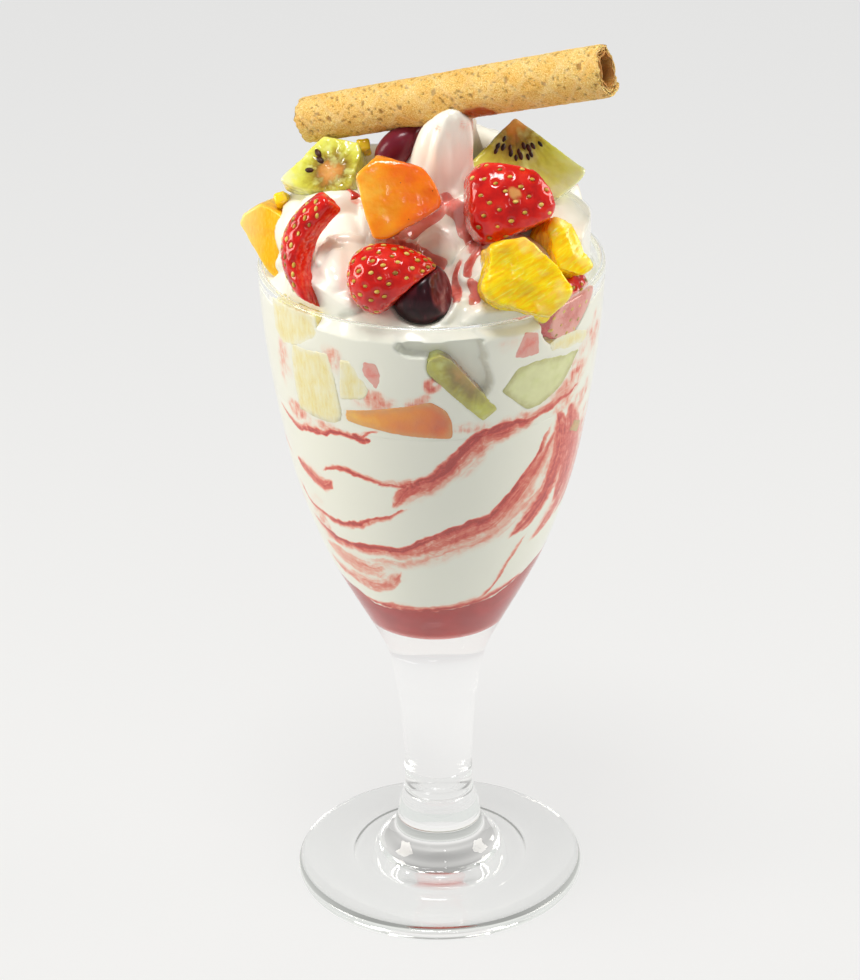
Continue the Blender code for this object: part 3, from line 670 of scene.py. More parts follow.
def behind_glass(tree, shader, colour, veil, most):
    """Feeds the base colour, milky with smeared cream where the piece is pressed to the glass:
    up to `most` of `veil`, and more round its borders."""
    place = add(tree, "Attribute", attribute_name="place").outputs["Vector"]
    smear = add(tree, "TexNoise", {"Vector": place, "Scale": 0.3, "Detail": 5.0,
                                   "Roughness": 0.65})
    uneven = add(tree, "MapRange", {0: smear, 1: 0.35, 2: 0.65, 3: 0.45, 4: 1.0})
    pressed = add(tree, "Attribute", attribute_name="pressed").outputs["Fac"]
    border = add(tree, "Attribute", attribute_name="border").outputs["Fac"]
    amount = add(tree, "Math", {0: uneven, 1: pressed}, operation="MULTIPLY")
    over = add(tree, "Math", {0: amount, 1: most}, operation="MULTIPLY")
    edge = add(tree, "Math", {0: border, 1: uneven}, operation="MULTIPLY")
    share = add(tree, "Math", {0: edge, 1: 0.6, 2: over}, operation="MULTIPLY_ADD", use_clamp=True)
    feed(shader, {"Base Color": add(tree, "Mix", {0: share, 6: colour, 7: veil},
                                    data_type="RGBA")})
    # Against the glass no light can come in round the edges, so none is let out there.
    weight = shader.inputs["Subsurface Weight"].default_value
    sunk = add(tree, "MapRange", {0: pressed, 3: weight, 4: 0.0})
    feed(shader, {"Subsurface Weight": sunk})


# Mango: firm, smooth orange-yellow flesh with fine fibres along the block.
def fibre_relief(place, on_skin, heart):
    """Shallow ripples along the flesh's fibres, and a slightly ragged surface."""
    return 0.16 * noise(place * (0.35, 1, 1), 2.2, 31) + 0.07 * noise(place, 0.8, 32)


mango_flesh, tree, shader, place = flesh("Mango flesh", "FFC02C", 0.3, 0.003, 0.6,
                                         (1.0, 0.75, 0.3))
threads = add(tree, "TexNoise", {"Vector": add(tree, "VectorMath", {0: place, 1: (1.6, 0.35, 1.6)},
                                               operation="MULTIPLY"), "Scale": 1.6, "Detail": 5.0,
                                 "Roughness": 0.62})
tone = add(tree, "ValToRGB", {0: threads}, stops=[(0.28, "FFB200"), (0.48, "FFC410"),
                                                  (0.64, "FFD044"), (0.85, "FFE698")])
# Painted light: its rounded end is painted paler, as if more light fell on it there.
parts = add(tree, "SeparateXYZ", {0: place})
end = add(tree, "MapRange", {0: parts, 1: -4.5, 2: 2.5, 3: 0.75, 4: 0.0})
feed(shader, {"Base Color": add(tree, "Mix", {0: end, 6: tone, 7: "FFE29C"}, data_type="RGBA")})
feed(shader, {"Normal": add(tree, "Bump", {"Height": threads, "Strength": 0.5,
                                           "Distance": 0.25 * MM})})

# Peach: softer and redder in blotches, with dark specks, and frothy where cream melts on it.
def soft_relief(place, on_skin, heart):
    """Softly uneven wet flesh, frothy along its upper edge."""
    froth = step_up(place[:, 1], 6.0, 9.0) * (0.25 + 0.5 * noise(place, 1.1, 34))
    return 0.35 * noise(place, 4.0, 33) + 0.06 * noise(place, 0.8, 32) + 0.5 * froth


peach_flesh, tree, shader, place = flesh("Peach flesh", "F98A10", 0.16, 0.003, 0.6,
                                         (1.0, 0.6, 0.25), 1.0)
cloud = add(tree, "TexNoise", {"Vector": place, "Scale": 0.14, "Detail": 5.0, "Roughness": 0.55})
parts = add(tree, "SeparateXYZ", {0: place})
slant = add(tree, "MapRange", {0: parts, 1: -12.0, 2: 13.0, 3: -0.3, 4: 0.35})
blotch = add(tree, "Math", {0: cloud, 1: slant}, operation="ADD")
tone = add(tree, "ValToRGB", {0: blotch}, stops=[(0.12, "FFC448"), (0.36, "FC9C14"),
                                                 (0.58, "F88206"), (0.78, "EE6410"),
                                                 (0.95, "DC3E10")])
specks = add(tree, "TexVoronoi", {"Vector": place, "Scale": 0.3, "Randomness": 1.0})
spot = add(tree, "MapRange", {0: specks, 1: 0.030, 2: 0.055, 3: 1.0, 4: 0.0})
behind_glass(tree, shader, add(tree, "Mix", {0: spot, 6: tone, 7: "7C2A06"}, data_type="RGBA"),
             "E0A060", 0.35)
grain = add(tree, "TexNoise", {"Vector": place, "Scale": 0.9, "Detail": 5.0})
feed(shader, {"Normal": add(tree, "Bump", {"Height": grain, "Strength": 0.5,
                                           "Distance": 0.3 * MM})})

# Orange: peeled segments cut across, so juice sacs lie side by side like short fat threads.
def sac_relief(place, on_skin, heart):
    """Long rounded sacs: ridges of a random field stretched along them, with torn gaps."""
    swirl = place + 1.6 * noise(place, 7.0, 41)[:, None]
    rows = swirl @ np.array([(0.92, 0.38, 0), (-0.38, 0.92, 0), (0, 0, 1)]).T * (0.22, 1, 1)
    ridge = 1 - np.abs(noise(rows, 1.3, 42)) * 2.2
    return 0.17 * ridge + 0.08 * noise(rows, 0.6, 43) + 0.8 * noise(place, 5.0, 44)


orange_flesh, tree, shader, place = flesh("Orange flesh", "FFD21E", 0.16, 0.003, 0.6,
                                          (1.0, 0.85, 0.3), 0.6)
turned = add(tree, "VectorRotate", {"Vector": place, "Angle": -0.39}, rotation_type="Z_AXIS")
packed = add(tree, "VectorMath", {0: turned, 1: (0.2, 1.0, 1.0)}, operation="MULTIPLY")
sacs = add(tree, "TexNoise", {"Vector": packed, "Scale": 1.1, "Detail": 4.0, "Roughness": 0.6,
                              "Distortion": 0.8})
tone = add(tree, "ValToRGB", {0: sacs}, stops=[(0.30, "FFB800"), (0.44, "FFCC00"),
                                               (0.54, "FFDA08"), (0.64, "FFE634"),
                                               (0.76, "FFF298")])
broad = add(tree, "TexNoise", {"Vector": place, "Scale": 0.13, "Detail": 2.0})
pale = add(tree, "MapRange", {0: broad, 1: 0.54, 2: 0.70, 3: 0.0, 4: 0.5})
blush = add(tree, "Mix", {0: pale, 6: tone, 7: "FFEC9A"}, data_type="RGBA")
# A film of syrup tints the top of the piece.
parts = add(tree, "SeparateXYZ", {0: place})
high = add(tree, "MapRange", {0: parts.outputs[1], 1: 5.0, 2: 10.0, 3: 0.0, 4: 0.4})
feed(shader, {"Base Color": add(tree, "Mix", {0: high, 6: blush, 7: "F29038"}, data_type="RGBA")})
feed(shader, {"Normal": add(tree, "Bump", {"Height": sacs, "Strength": 0.5,
                                           "Distance": 0.35 * MM})})

# Kiwi: slices across the fruit. Green flesh rays out from a pale core, with a ring of seeds.
def ray_relief(place, on_skin, heart):
    """Fine rays out from the core, and a softly uneven face."""
    out = place[:, :2] - heart
    radius = np.maximum(np.hypot(out[:, 0], out[:, 1]), 0.1)
    rays = np.stack([out[:, 0] / radius * 9, out[:, 1] / radius * 9,
                     radius * 0.2 + place[:, 2] * 0.5], -1)
    return (0.16 * step_up(radius, 2.0, 6.0) * noise(rays, 1.0, 51) + 0.16 * noise(place, 2.4, 52)
            + 0.06 * noise(place, 0.7, 53))


kiwi_flesh, tree, shader, place = flesh("Kiwi flesh", "B9C04A", 0.14, 0.003, 0.55,
                                        (1.0, 0.95, 0.45), 1.0)
flat = add(tree, "VectorMath", {0: place, 1: (1.0, 1.0, 0.0)}, operation="MULTIPLY")
radius = add(tree, "VectorMath", {0: flat}, operation="LENGTH")
unit = add(tree, "VectorMath", {0: flat}, operation="NORMALIZE")
rays = add(tree, "TexNoise", {"Vector": unit, "Scale": 9.0, "Detail": 4.0, "Roughness": 0.7})
cloud = add(tree, "TexNoise", {"Vector": place, "Scale": 0.25, "Detail": 4.0})
drift = add(tree, "MapRange", {0: cloud, 1: 0.25, 2: 0.75, 3: -2.4, 4: 2.4})
ragged = add(tree, "Math", {0: radius, 1: drift}, operation="ADD")
scaled = add(tree, "MapRange", {0: ragged, 1: 0.0, 2: 24.0})
tone = add(tree, "ValToRGB", {0: scaled}, stops=[(0.05, "E0A860"), (0.18, "C88A40"),
                                                 (0.28, "96782C"), (0.38, "B8AA3A"),
                                                 (0.50, "D4D450"), (0.72, "E4E670"),
                                                 (0.90, "ECEEB6")])
streak = add(tree, "ValToRGB", {0: rays}, stops=[(0.34, "C4BA90"), (0.58, "FFFFFF")])
banded = add(tree, "ValToRGB", {0: scaled}, stops=[(0.16, "404040"), (0.32, "E0E0E0"),
                                                   (0.60, "303030")])
shaded = add(tree, "Mix", {0: 1.0, 6: tone, 7: streak}, data_type="RGBA", blend_type="MULTIPLY")
rayed = add(tree, "Mix", {0: banded, 6: tone, 7: shaded}, data_type="RGBA")
pale = add(tree, "MapRange", {0: cloud, 1: 0.52, 2: 0.68, 3: 0.0, 4: 0.55})
green = add(tree, "Mix", {0: pale, 6: rayed, 7: "DFE49A"}, data_type="RGBA")
behind_glass(tree, shader, green, "B2AA62", 0.25)
feed(shader, {"Normal": add(tree, "Bump", {"Height": rays, "Strength": 0.3,
                                           "Distance": 0.12 * MM})})

# Pineapple: pale yellow, open and stringy, and soft at the edges where it lies on the glass.
def stringy_relief(place, on_skin, heart):
    """Loose strings along the block with open gaps between them."""
    rows = place * (1.0, 0.28, 1.0)
    return 0.35 * noise(rows, 1.3, 61) + 0.25 * noise(place, 2.6, 62)


pineapple_flesh, tree, shader, place = flesh("Pineapple flesh", "F1DD84", 0.25, 0.004, 0.8,
                                             (1.0, 0.8, 0.3), 0.6)
strings = add(tree, "TexNoise", {"Vector": add(tree, "VectorMath", {0: place, 1: (1.0, 0.25, 1.0)},
                                               operation="MULTIPLY"), "Scale": 1.0, "Detail": 5.0,
                                 "Roughness": 0.6})
tone = add(tree, "ValToRGB", {0: strings}, stops=[(0.30, "EBCB4E"), (0.48, "F4E07C"),
                                                  (0.62, "F8ECAC"), (0.8, "FBF6DC")])
behind_glass(tree, shader, tone, "F6F0D4", 0.6)
feed(shader, {"Normal": add(tree, "Bump", {"Height": strings, "Strength": 0.5,
                                           "Distance": 0.25 * MM})})

# Riper bits of it are evenly golden.
ripe_flesh, tree, shader, place = flesh("Ripe pineapple flesh", "FFD21E", 0.2, 0.003, 0.6,
                                        (1.0, 0.8, 0.3), 0.8)

# Strawberry: glossy red skin dimpled round each achene; paler, wet flesh where it is cut.
ACHENES = []                 # (place, outward way, long way) of every achene on every berry


def achene_places(skin, seed, spacing):
    """Even spiral of places on a berry's ellipsoid, each moved a little: local coordinates."""
    u, v, w, long, wide, deep, taper = skin
    area = 4 * np.pi * ((long * wide) ** 1.6 / 3 + (long * deep) ** 1.6 / 3
                        + (wide * deep) ** 1.6 / 3) ** (1 / 1.6)
    count = int(area / (spacing**2 * 0.87))
    turn = np.arange(count) * np.pi * (3 - np.sqrt(5))
    x = 1 - 2 * (np.arange(count) + 0.5) / count
    ring = np.sqrt(1 - x * x)
    nudge = np.random.default_rng(seed).normal(0, 0.28, (count, 3))
    unit = np.stack([x, ring * np.cos(turn), ring * np.sin(turn)], -1)
    narrow = 1 - taper * (x + 1) / 2
    return np.stack([u + long * unit[:, 0], v + wide * unit[:, 1] * narrow,
                     w + deep * unit[:, 2] * narrow], -1) + nudge


def berry_relief(places):
    """Relief of a berry whose achenes lie at these local places."""
    def relief(place, on_skin, heart):
        """A rimmed dimple 0.45 mm deep round each achene on the skin, and ragged cut flesh."""
        far = np.full(len(place), 9.0)
        for spot in places:
            far = np.minimum(far, np.linalg.norm(place - spot, axis=1))
        dimple = -0.45 * np.exp(-(far / 0.75) ** 2) + 0.08 * np.exp(-((far - 1.5) / 0.6) ** 2)
        torn = 0.20 * noise(place, 1.6, 71) + 0.10 * noise(place, 0.6, 72)
        return on_skin * (dimple + 0.12 * noise(place, 3.5, 73)) + (1 - on_skin) * torn
    return relief


strawberry_flesh, tree, shader, place = flesh("Strawberry skin and flesh", "C4120C", 0.14, 0.003,
                                              0.55, (1.0, 0.25, 0.15), 1.0)
on_skin = add(tree, "Attribute", attribute_name="skin").outputs["Fac"]
cloud = add(tree, "TexNoise", {"Vector": place, "Scale": 0.25, "Detail": 3.0})
skin_tone = add(tree, "ValToRGB", {0: cloud}, stops=[(0.30, "B40A08"), (0.5, "D0140C"),
                                                     (0.72, "E2301E")])
grain = add(tree, "TexNoise", {"Vector": place, "Scale": 0.8, "Detail": 4.0})
cut_tone = add(tree, "ValToRGB", {0: grain}, stops=[(0.30, "E01A0C"), (0.5, "EC3A24"),
                                                    (0.68, "F26A4C"), (0.85, "F8A088")])
whole_berry = add(tree, "Mix", {0: on_skin, 6: cut_tone, 7: skin_tone}, data_type="RGBA")
bruised = add(tree, "Mix", {0: add(tree, "Attribute", attribute_name="bruise").outputs["Fac"],
                            6: whole_berry, 7: "D89A58"}, data_type="RGBA")
behind_glass(tree, shader, bruised, "EAA89C", 0.9)
feed(shader, {"Normal": add(tree, "Bump", {"Height": grain, "Strength": 0.25,
                                           "Distance": 0.15 * MM})})

# Dark cherry: stoned halves, nearly black skin over wine-red flesh.
def smooth_relief(place, on_skin, heart):
    """Taut skin, with slightly torn flesh where it was halved."""
    return on_skin * 0.10 * noise(place, 4.0, 81) + (1 - on_skin) * 0.22 * noise(place, 1.4, 82)


cherry_flesh, tree, shader, place = flesh("Cherry skin and flesh", "2A0A10", 0.3, 0.002, 0.3,
                                          (1.0, 0.3, 0.3), 0.3)
feed(shader, {"Specular IOR Level": 0.3})
on_skin = add(tree, "Attribute", attribute_name="skin").outputs["Fac"]
cloud = add(tree, "TexNoise", {"Vector": add(tree, "VectorMath", {0: place, 1: (1.0, 0.4, 1.0)},
                                             operation="MULTIPLY"), "Scale": 0.3, "Detail": 5.0,
                               "Distortion": 0.8})
skin_tone = add(tree, "ValToRGB", {0: cloud}, stops=[(0.32, "1C070C"), (0.52, "360F18"),
                                                     (0.66, "5A1E28"), (0.8, "8A4A50")])
cut_tone = add(tree, "ValToRGB", {0: cloud}, stops=[(0.32, "3E1018"), (0.50, "6A2028"),
                                                    (0.64, "8E4A4E"), (0.8, "B88884")])
both = add(tree, "Mix", {0: on_skin, 6: cut_tone, 7: skin_tone}, data_type="RGBA")
# The cherry on top of the mound is a redder one.
parts = add(tree, "SeparateXYZ", {0: add(tree, "TexCoord").outputs["Object"]})
top = add(tree, "MapRange", {0: parts.outputs[2], 1: 0.198, 2: 0.202, 3: 0.0, 4: 0.7})
feed(shader, {"Base Color": add(tree, "Mix", {0: top, 6: both, 7: "7A1E30"}, data_type="RGBA")})

MANGO = (mango_flesh, "mango", fibre_relief)
PEACH = (peach_flesh, "peach", soft_relief)
ORANGE = (orange_flesh, "orange", sac_relief)
KIWI = (kiwi_flesh, "kiwi", ray_relief)
PINEAPPLE = (pineapple_flesh, "pineapple", stringy_relief)
RIPE = (ripe_flesh, "pineapple", stringy_relief)
CHERRY = (cherry_flesh, "cherry", smooth_relief)


def berry(name, at, facing, skin, cuts=(), bend=0.0, after=(), outline=(), front=None, back=None,
          spacing=3.7, scar=NO_SCAR):
    """A cut strawberry, and the places of its achenes `spacing` mm apart, which are made together
    below."""
    places = achene_places(skin, len(ACHENES), spacing)
    kind = (strawberry_flesh, "strawberry", berry_relief(places))
    fruit(kind, name, at, facing, outline, front, back, skin, cuts, bend, after, scar=scar)
    axes = facing_axes(facing)
    bent = places.copy()
    bent[:, 1] += bend * places[:, 0] ** 2
    world = bent @ axes + at
    shape = FRUIT[name]
    out = slopes(shape, world, 0.4)
    for _ in range(3):
        world = world - out * shape(world)[:, None]
    kept = np.abs(shape(world)) < 0.2
    normals, distances = knife_planes(outline, front, back, cuts)
    if len(distances):
        kept &= (places @ normals.T - distances).max(axis=1) < -0.5
    ACHENES.extend(zip(world[kept], out[kept], np.repeat(axes[:1], kept.sum(), axis=0)))


# On the mound, from the rim at the left round to the right.
fruit(MANGO, "mango_left", (-43.6, 1, 187.5), (-20, 12, 0),
      [(-5.2, 3.2), (-4.2, 6.0), (0.4, 9.4), (8.4, 6.0), (10.2, -3.0), (8.2, -10.4), (3.2, -8.4),
       (-0.6, -3.2)], front=1.5, back=9)
berry("strawberry_left", (-30.4, -22.5, 195.0), (-25, 25, 90),
      skin=(-0.5, 1.6, -3.0, 26.0, 6.2, 7.5, 0.0),
      cuts=[((-0.17, -0.915, 0.365), 1.3), ((0.926, -0.376, 0.0), 11.0),
            ((-0.915, 0.404, 0.0), 13.6), ((-1.0, 0.0, 0.0), 15.2), ((0.8, 0.0, 0.6), 14.0)],
      back=1.0, bend=-0.037, spacing=2.9)
berry("strawberry_front", (-10.2, -37.0, 192.7), (0, 30, 8),
      skin=(0.7, 0.6, -4.0, 11.2, 11.0, 9.5, 0.5), cuts=[((0.51, -0.86, 0.0), 5.0)])
fruit(CHERRY, "cherry_front", (-2.4, -33.5, 187.0), (0, 27, 0),
      skin=(0.0, 0.0, -1.5, 7.8, 7.7, 7.5, 0.0), cuts=[((0.85, 0.1, 0.5), 4.7)],
      after=["strawberry_front"])
fruit(PEACH, "peach_chunk", (-7.8, -23.0, 207.8), (0, 25, 0),
      [(-10.5, 5.3), (-5.0, 10.3), (6.2, 7.2), (10.8, -0.5), (10.2, -2.6), (-3.7, -10.4),
       (-6.5, -10.0)], front=4.5, back=8, cuts=[((0.0, 0.75, 0.66), 9.3)])
berry("strawberry_right", (19.7, -22.0, 205.6), (10, 30, 0),
      skin=(0.3, 0.5, -4.0, 13.5, 12.8, 9.5, 0.0), outline=[(-10.9, -2.5), (-9.6, 8.4),
                                                            (-6.9, 10.5), (-4.1, 10.7), (6.8, 7.2),
                                                            (10.6, 1.0), (11.0, -1.8), (9.1, -4.8),
                                                            (-5.5, -9.5), (-7.7, -9.1),
                                                            (-9.8, -6.5)], scar=(0.4, 1.4))
fruit(ORANGE, "orange_front", (23.1, -32.0, 190.7), (15, 27, 0),
      [(-12.2, -2.5), (-9.0, 7.8), (4.9, 10.5), (8.2, 0.0), (11.4, -3.6), (3.5, -11.3),
       (-8.5, -7.0)], front=5, back=7, after=["strawberry_right"])
fruit(ORANGE, "orange_back", (33.2, -20.0, 192.8), (35, 30, 0),
      [(-5.5, 5.5), (-2.0, 8.3), (2.8, 4.5), (4.2, -6.6), (0.4, -8.2), (-5.5, -5.0)],
      front=3, back=7, after=["orange_front"])
fruit(KIWI, "kiwi_right", (23.5, -1.5, 208.6), (15, 35, 0),
      [(-15.5, -0.5), (-1.2, 10.6), (14.8, -4.8), (13.5, -7.0), (6.5, -11.0), (-9.0, -8.0)],
      front=3, back=6, after=["strawberry_right"], heart=(-1.5, 11.0))
fruit(KIWI, "kiwi_left", (-27.3, 3.0, 205.6), (-20, 45, 0),
      [(-9.8, -5.5), (-4.8, 2.0), (-1.0, 7.6), (8.7, 7.3), (10.4, 4.0), (9.6, -5.0),
       (6.6, -7.0), (-5.0, -7.0)], front=2.5, back=5, heart=(3.6, -1.6), core=0.56)
fruit(CHERRY, "cherry_back", (-8.1, 2.0, 212.4), (-10, 40, 40),
      skin=(0.5, -0.8, -2.0, 7.7, 4.7, 6.5, 0.0), cuts=[((0.45, -0.9, 0.0), 4.2)])
fruit(RIPE, "pineapple_bit_left", (-37.5, 3.0, 197.6), (-20, 40, 35),
      [(-2.2, -1.6), (-1.9, 1.3), (1.6, 1.3), (1.9, -1.6)], front=1.5, back=3, fine=0.5)
fruit(RIPE, "pineapple_bit_back", (-17.2, 6.0, 210.0), (0, 40, 10),
      [(-1.2, -1.8), (-1.0, 1.5), (2.4, 1.3), (2.3, -1.8)], front=2, back=3, fine=0.5)
berry("strawberry_rim", (33.0, -22.5, 178.5), (52, 5, 20),
      skin=(0.0, 0.0, -3.0, 11.5, 8.0, 9.0, 0.3), cuts=[((0.3, -0.95, 0.0), 5.0)])

# Against the glass, from the left round to the right.
fruit(PINEAPPLE, "pineapple_upper", *on_glass(-53, 173.6),
      [(-9.0, -3.0), (-9.5, 6.0), (8.0, 7.0), (9.0, 2.0), (3.0, -2.5), (-5.0, -5.5)],
      front=2, back=8)
fruit(PINEAPPLE, "pineapple_lower", *on_glass(-45, 161.5, -6),
      [(-8.0, 4.5), (-7.0, 8.5), (5.5, 10.0), (7.0, 4.0), (7.8, -8.0), (5.5, -10.5),
       (-7.5, -10.5)], front=2, back=9)
fruit(PINEAPPLE, "melon_seeded", *on_glass(-28, 165.0, -5),
      [(-4.2, -5.8), (-3.4, 6.0), (0.0, 6.2), (4.2, -1.8), (2.5, -4.5)], front=2, back=6,
      fine=0.7)
berry("berry_bit", *on_glass(-21.5, 167.5, -5), (0, 0, 0, 6, 6, 5, 0),
      outline=[(-2.4, 0.0), (-1.6, 4.2), (1.6, 3.8), (3.2, -1.0), (1.4, -3.6)], front=2, back=5)
fruit(PEACH, "peach_slice", *on_glass(-13, 156.0, -8),
      [(-13.2, -3.0), (-13.4, 1.2), (3.8, 4.5), (8.0, 5.6), (12.0, 2.6), (13.4, -1.6),
       (13.0, -6.0)], front=5, back=9)
fruit(KIWI, "kiwi_strip", *on_glass(10, 164.5, -6),
      [(-8.9, 5.3), (-8.6, 8.6), (-5.6, 10.0), (-3.2, 8.8), (8.9, -7.0), (5.0, -10.0)],
      front=2, back=6, heart=(4.0, 6.5))
berry("berry_low", *on_glass(33, 173.5, -4), (0, 0, 0, 7, 7, 6, 0),
      outline=[(-4.2, -3.0), (-1.0, 4.0), (3.0, 3.0), (3.6, -3.2)], front=2, back=5)
fruit(PINEAPPLE, "pineapple_right", *on_glass(53, 169.5, -4),
      [(-8.0, 2.6), (-4.6, 3.6), (2.0, 3.0), (8.0, 0.4), (7.8, -2.2), (1.8, -1.8), (-7.0, 0.0)],
      front=3, back=7)
fruit(KIWI, "kiwi_low", *on_glass(43, 162.3, -6),
      [(-13.6, -0.2), (-9.9, 5.6), (-4.2, 6.6), (11.6, 3.9), (5.2, -3.8), (-2.2, -7.2),
       (-6.0, -7.2)], front=4, back=8, heart=(4.0, 26.0))
fruit(KIWI, "green_bit", *on_glass(66, 142.0, -10, -30),
      [(-3.6, -1.6), (-3.2, 1.6), (3.2, 1.8), (3.6, -1.4)], front=2, back=4, fine=0.5)

# The side turned away is filled with the same fruit in the same way.
berry("strawberry_rear", (6.0, 31.0, 196.0), (175, 35, 160),
      skin=(-0.5, 0.0, -3.5, 12.0, 10.5, 9.0, 0.5), cuts=[((0.3, -0.95, 0.0), 6.0)])
fruit(KIWI, "kiwi_rear", (-20.0, 30.0, 192.0), (215, 35, 15),
      [(-10.5, -6.0), (-8.0, 6.0), (7.0, 8.0), (10.0, -3.0), (2.0, -8.0)], front=3, back=6,
      heart=(0.0, 9.0))
fruit(ORANGE, "orange_rear", (24.0, 27.0, 192.0), (140, 35, -10),
      [(-9.0, -6.0), (-8.0, 6.0), (4.0, 8.5), (10.0, 0.0), (4.0, -7.5)], front=6, back=6)
fruit(PEACH, "peach_rear", *on_glass(150, 160.0, -6, 12),
      [(-11.0, -4.0), (-10.0, 3.5), (3.0, 5.5), (11.0, 1.0), (10.0, -5.0)], front=4, back=8)
fruit(PINEAPPLE, "pineapple_rear", *on_glass(-155, 165.0, -5, -8),
      [(-7.0, -9.0), (-8.0, 8.0), (6.5, 9.5), (8.0, -7.0)], front=2, back=8)
fruit(KIWI, "kiwi_side", *on_glass(-112, 163.0, -6, 25),
      [(-9.0, -5.0), (-7.0, 6.0), (6.0, 7.0), (10.0, -1.0), (3.0, -7.0)], front=3, back=7,
      heart=(2.0, -10.0))
berry("strawberry_side", *on_glass(112, 166.0, -5, 30, 2.0),
      skin=(0.0, 0.0, -3.0, 11.0, 8.5, 8.0, 0.45), cuts=[((0.0, -1.0, 0.0), 5.5)])

# Achenes: the berries' dry golden seeds, each a small pointed egg sunk in its dimple.
def small_eggs(places, outs, ways, sizes, sink):
    """One egg of half-sizes (long, wide, high) at each place, `sink` mm below the surface:
    points and faces of all of them joined."""
    rings, sides = 5, 8
    tilt = np.linspace(0, np.pi, rings + 2)[1:-1]
    spin = np.linspace(0, 2 * np.pi, sides, endpoint=False)
    girth = np.sin(tilt)[:, None] ** 1.2
    unit = np.stack(np.broadcast_arrays(
        np.cos(tilt)[:, None], girth * np.cos(spin), girth * np.sin(spin)), -1).reshape(-1, 3)
    unit = np.concatenate([unit, [(1, 0, 0), (-1, 0, 0)]])
    outs = outs / np.linalg.norm(outs, axis=1, keepdims=True)
    ways = ways - (ways * outs).sum(1, keepdims=True) * outs
    ways /= np.maximum(np.linalg.norm(ways, axis=1, keepdims=True), 1e-6)
    sideways = np.cross(outs, ways)
    scaled = unit[None] * sizes[:, None]
    points = (places - outs * sink)[:, None] + np.einsum(
        "nkc,ncd->nkd", scaled, np.stack([ways, sideways, outs], 1))
    shift = (np.arange(len(places)) * len(unit))[:, None, None]
    return points.reshape(-1, 3), [(one + shift).reshape(-1, one.shape[1])
                                   for one in closed_faces(rings, sides, flipped=True)]


golden, tree, shader = finish("Strawberry achene", Base_Color="D9B648", Roughness=0.3,
                              Subsurface_Weight=0.2, Subsurface_Scale=0.0005)
where = add(tree, "TexCoord").outputs["Object"]
tints = add(tree, "TexNoise", {"Vector": where, "Scale": 260.0, "Detail": 2.0})
tone = add(tree, "ValToRGB", {0: tints}, stops=[(0.35, "8E6A1C"), (0.5, "CFA83A"),
                                                (0.7, "E8D070")])
feed(shader, {"Base Color": tone})
places, outs, ways = (np.array(column) for column in zip(*ACHENES))
vary = np.random.default_rng(9).uniform(0.85, 1.15, (len(places), 1))
points, faces = small_eggs(places, outs, ways, vary * (0.68, 0.47, 0.34), 0.18)
new_piece("strawberry_achenes", points, faces, golden, "strawberry")

# Kiwi seeds: black-brown pips in a ring round the core, each pointing at it and half sunk.
PIP_RING = (6.6, 10.4)       # inner and outer radius of the ring, in mm from the core's middle
PIP_SPACING = 2.1
# On the two slices that face the front, the places of their seeds on the face.
PIPS = {
    "kiwi_right": [(-5.0, 5.3), (-8.4, 4.1), (-6.9, 3.7), (-5.6, 3.3), (-11.0, 2.1), (-11.1, 3.4),
                   (-3.9, 2.9), (-1.8, 1.6), (-1.5, 0.5), (0.3, 0.1), (1.2, 0.7), (0.9, 2.3),
                   (2.0, 2.7), (3.9, 3.0), (-0.3, 3.0), (-3.9, 1.6), (-7.6, 2.5), (-2.8, 0.2)],
    "kiwi_left": [(-0.9, 2.8), (-4.4, 0.8), (0.1, 1.0), (-2.0, -2.0)],
}
places, outs, ways, sizes = [], [], [], []
for name, ((axes, at), heart, face) in KIWIS.items():
    if name in ("kiwi_strip", "kiwi_low", "green_bit"):
        continue
    count = int(np.pi * (PIP_RING[1]**2 - PIP_RING[0]**2) / PIP_SPACING**2)
    draw = np.random.default_rng(len(name) + int(face * 10))
    turn = 2 * np.pi * (np.arange(count) * 0.618 + draw.uniform(-0.02, 0.02, count))
    radius = np.sqrt(draw.uniform(PIP_RING[0]**2, PIP_RING[1]**2, count))
    flat = np.array(PIPS.get(name, np.stack([heart[0] + radius * np.cos(turn),
                                             heart[1] + radius * np.sin(turn)], -1)))
    outer_face = np.array([axes[2]] * len(flat))
    world = np.column_stack([flat, np.full(len(flat), face)]) @ axes + at
    for _ in range(3):
        world = world - outer_face * FRUIT[name](world)[:, None]
    kept = (np.abs(FRUIT[name](world)) < 0.15) & (FRUIT[name](world - 1.0 * axes[2]) < -0.8)
    places.append(world[kept])
    outs.append(outer_face[kept])
    ways.append((np.column_stack([heart - flat, np.zeros(len(flat))]) @ axes)[kept])
    sizes.append(np.repeat([(1.25, 0.75, 0.45) if name == "kiwi_left" else (1.05, 0.56, 0.42)],
                           kept.sum(), axis=0))
pip, tree, shader = finish("Kiwi seed", Base_Color="1E1512", Roughness=0.4, Specular_IOR_Level=0.3)
where = add(tree, "TexCoord").outputs["Object"]
tints = add(tree, "TexNoise", {"Vector": where, "Scale": 180.0, "Detail": 2.0})
tone = add(tree, "ValToRGB", {0: tints}, stops=[(0.4, "1A0F0A"), (0.62, "4A2010")])
feed(shader, {"Base Color": tone})
places, outs, ways, sizes = (np.concatenate(column) for column in (places, outs, ways, sizes))
vary = np.random.default_rng(11).uniform(0.85, 1.15, (len(places), 1))
points, faces = small_eggs(places, outs, ways, vary * sizes, 0.05)
new_piece("kiwi_seeds", points, faces, pip, "kiwi")

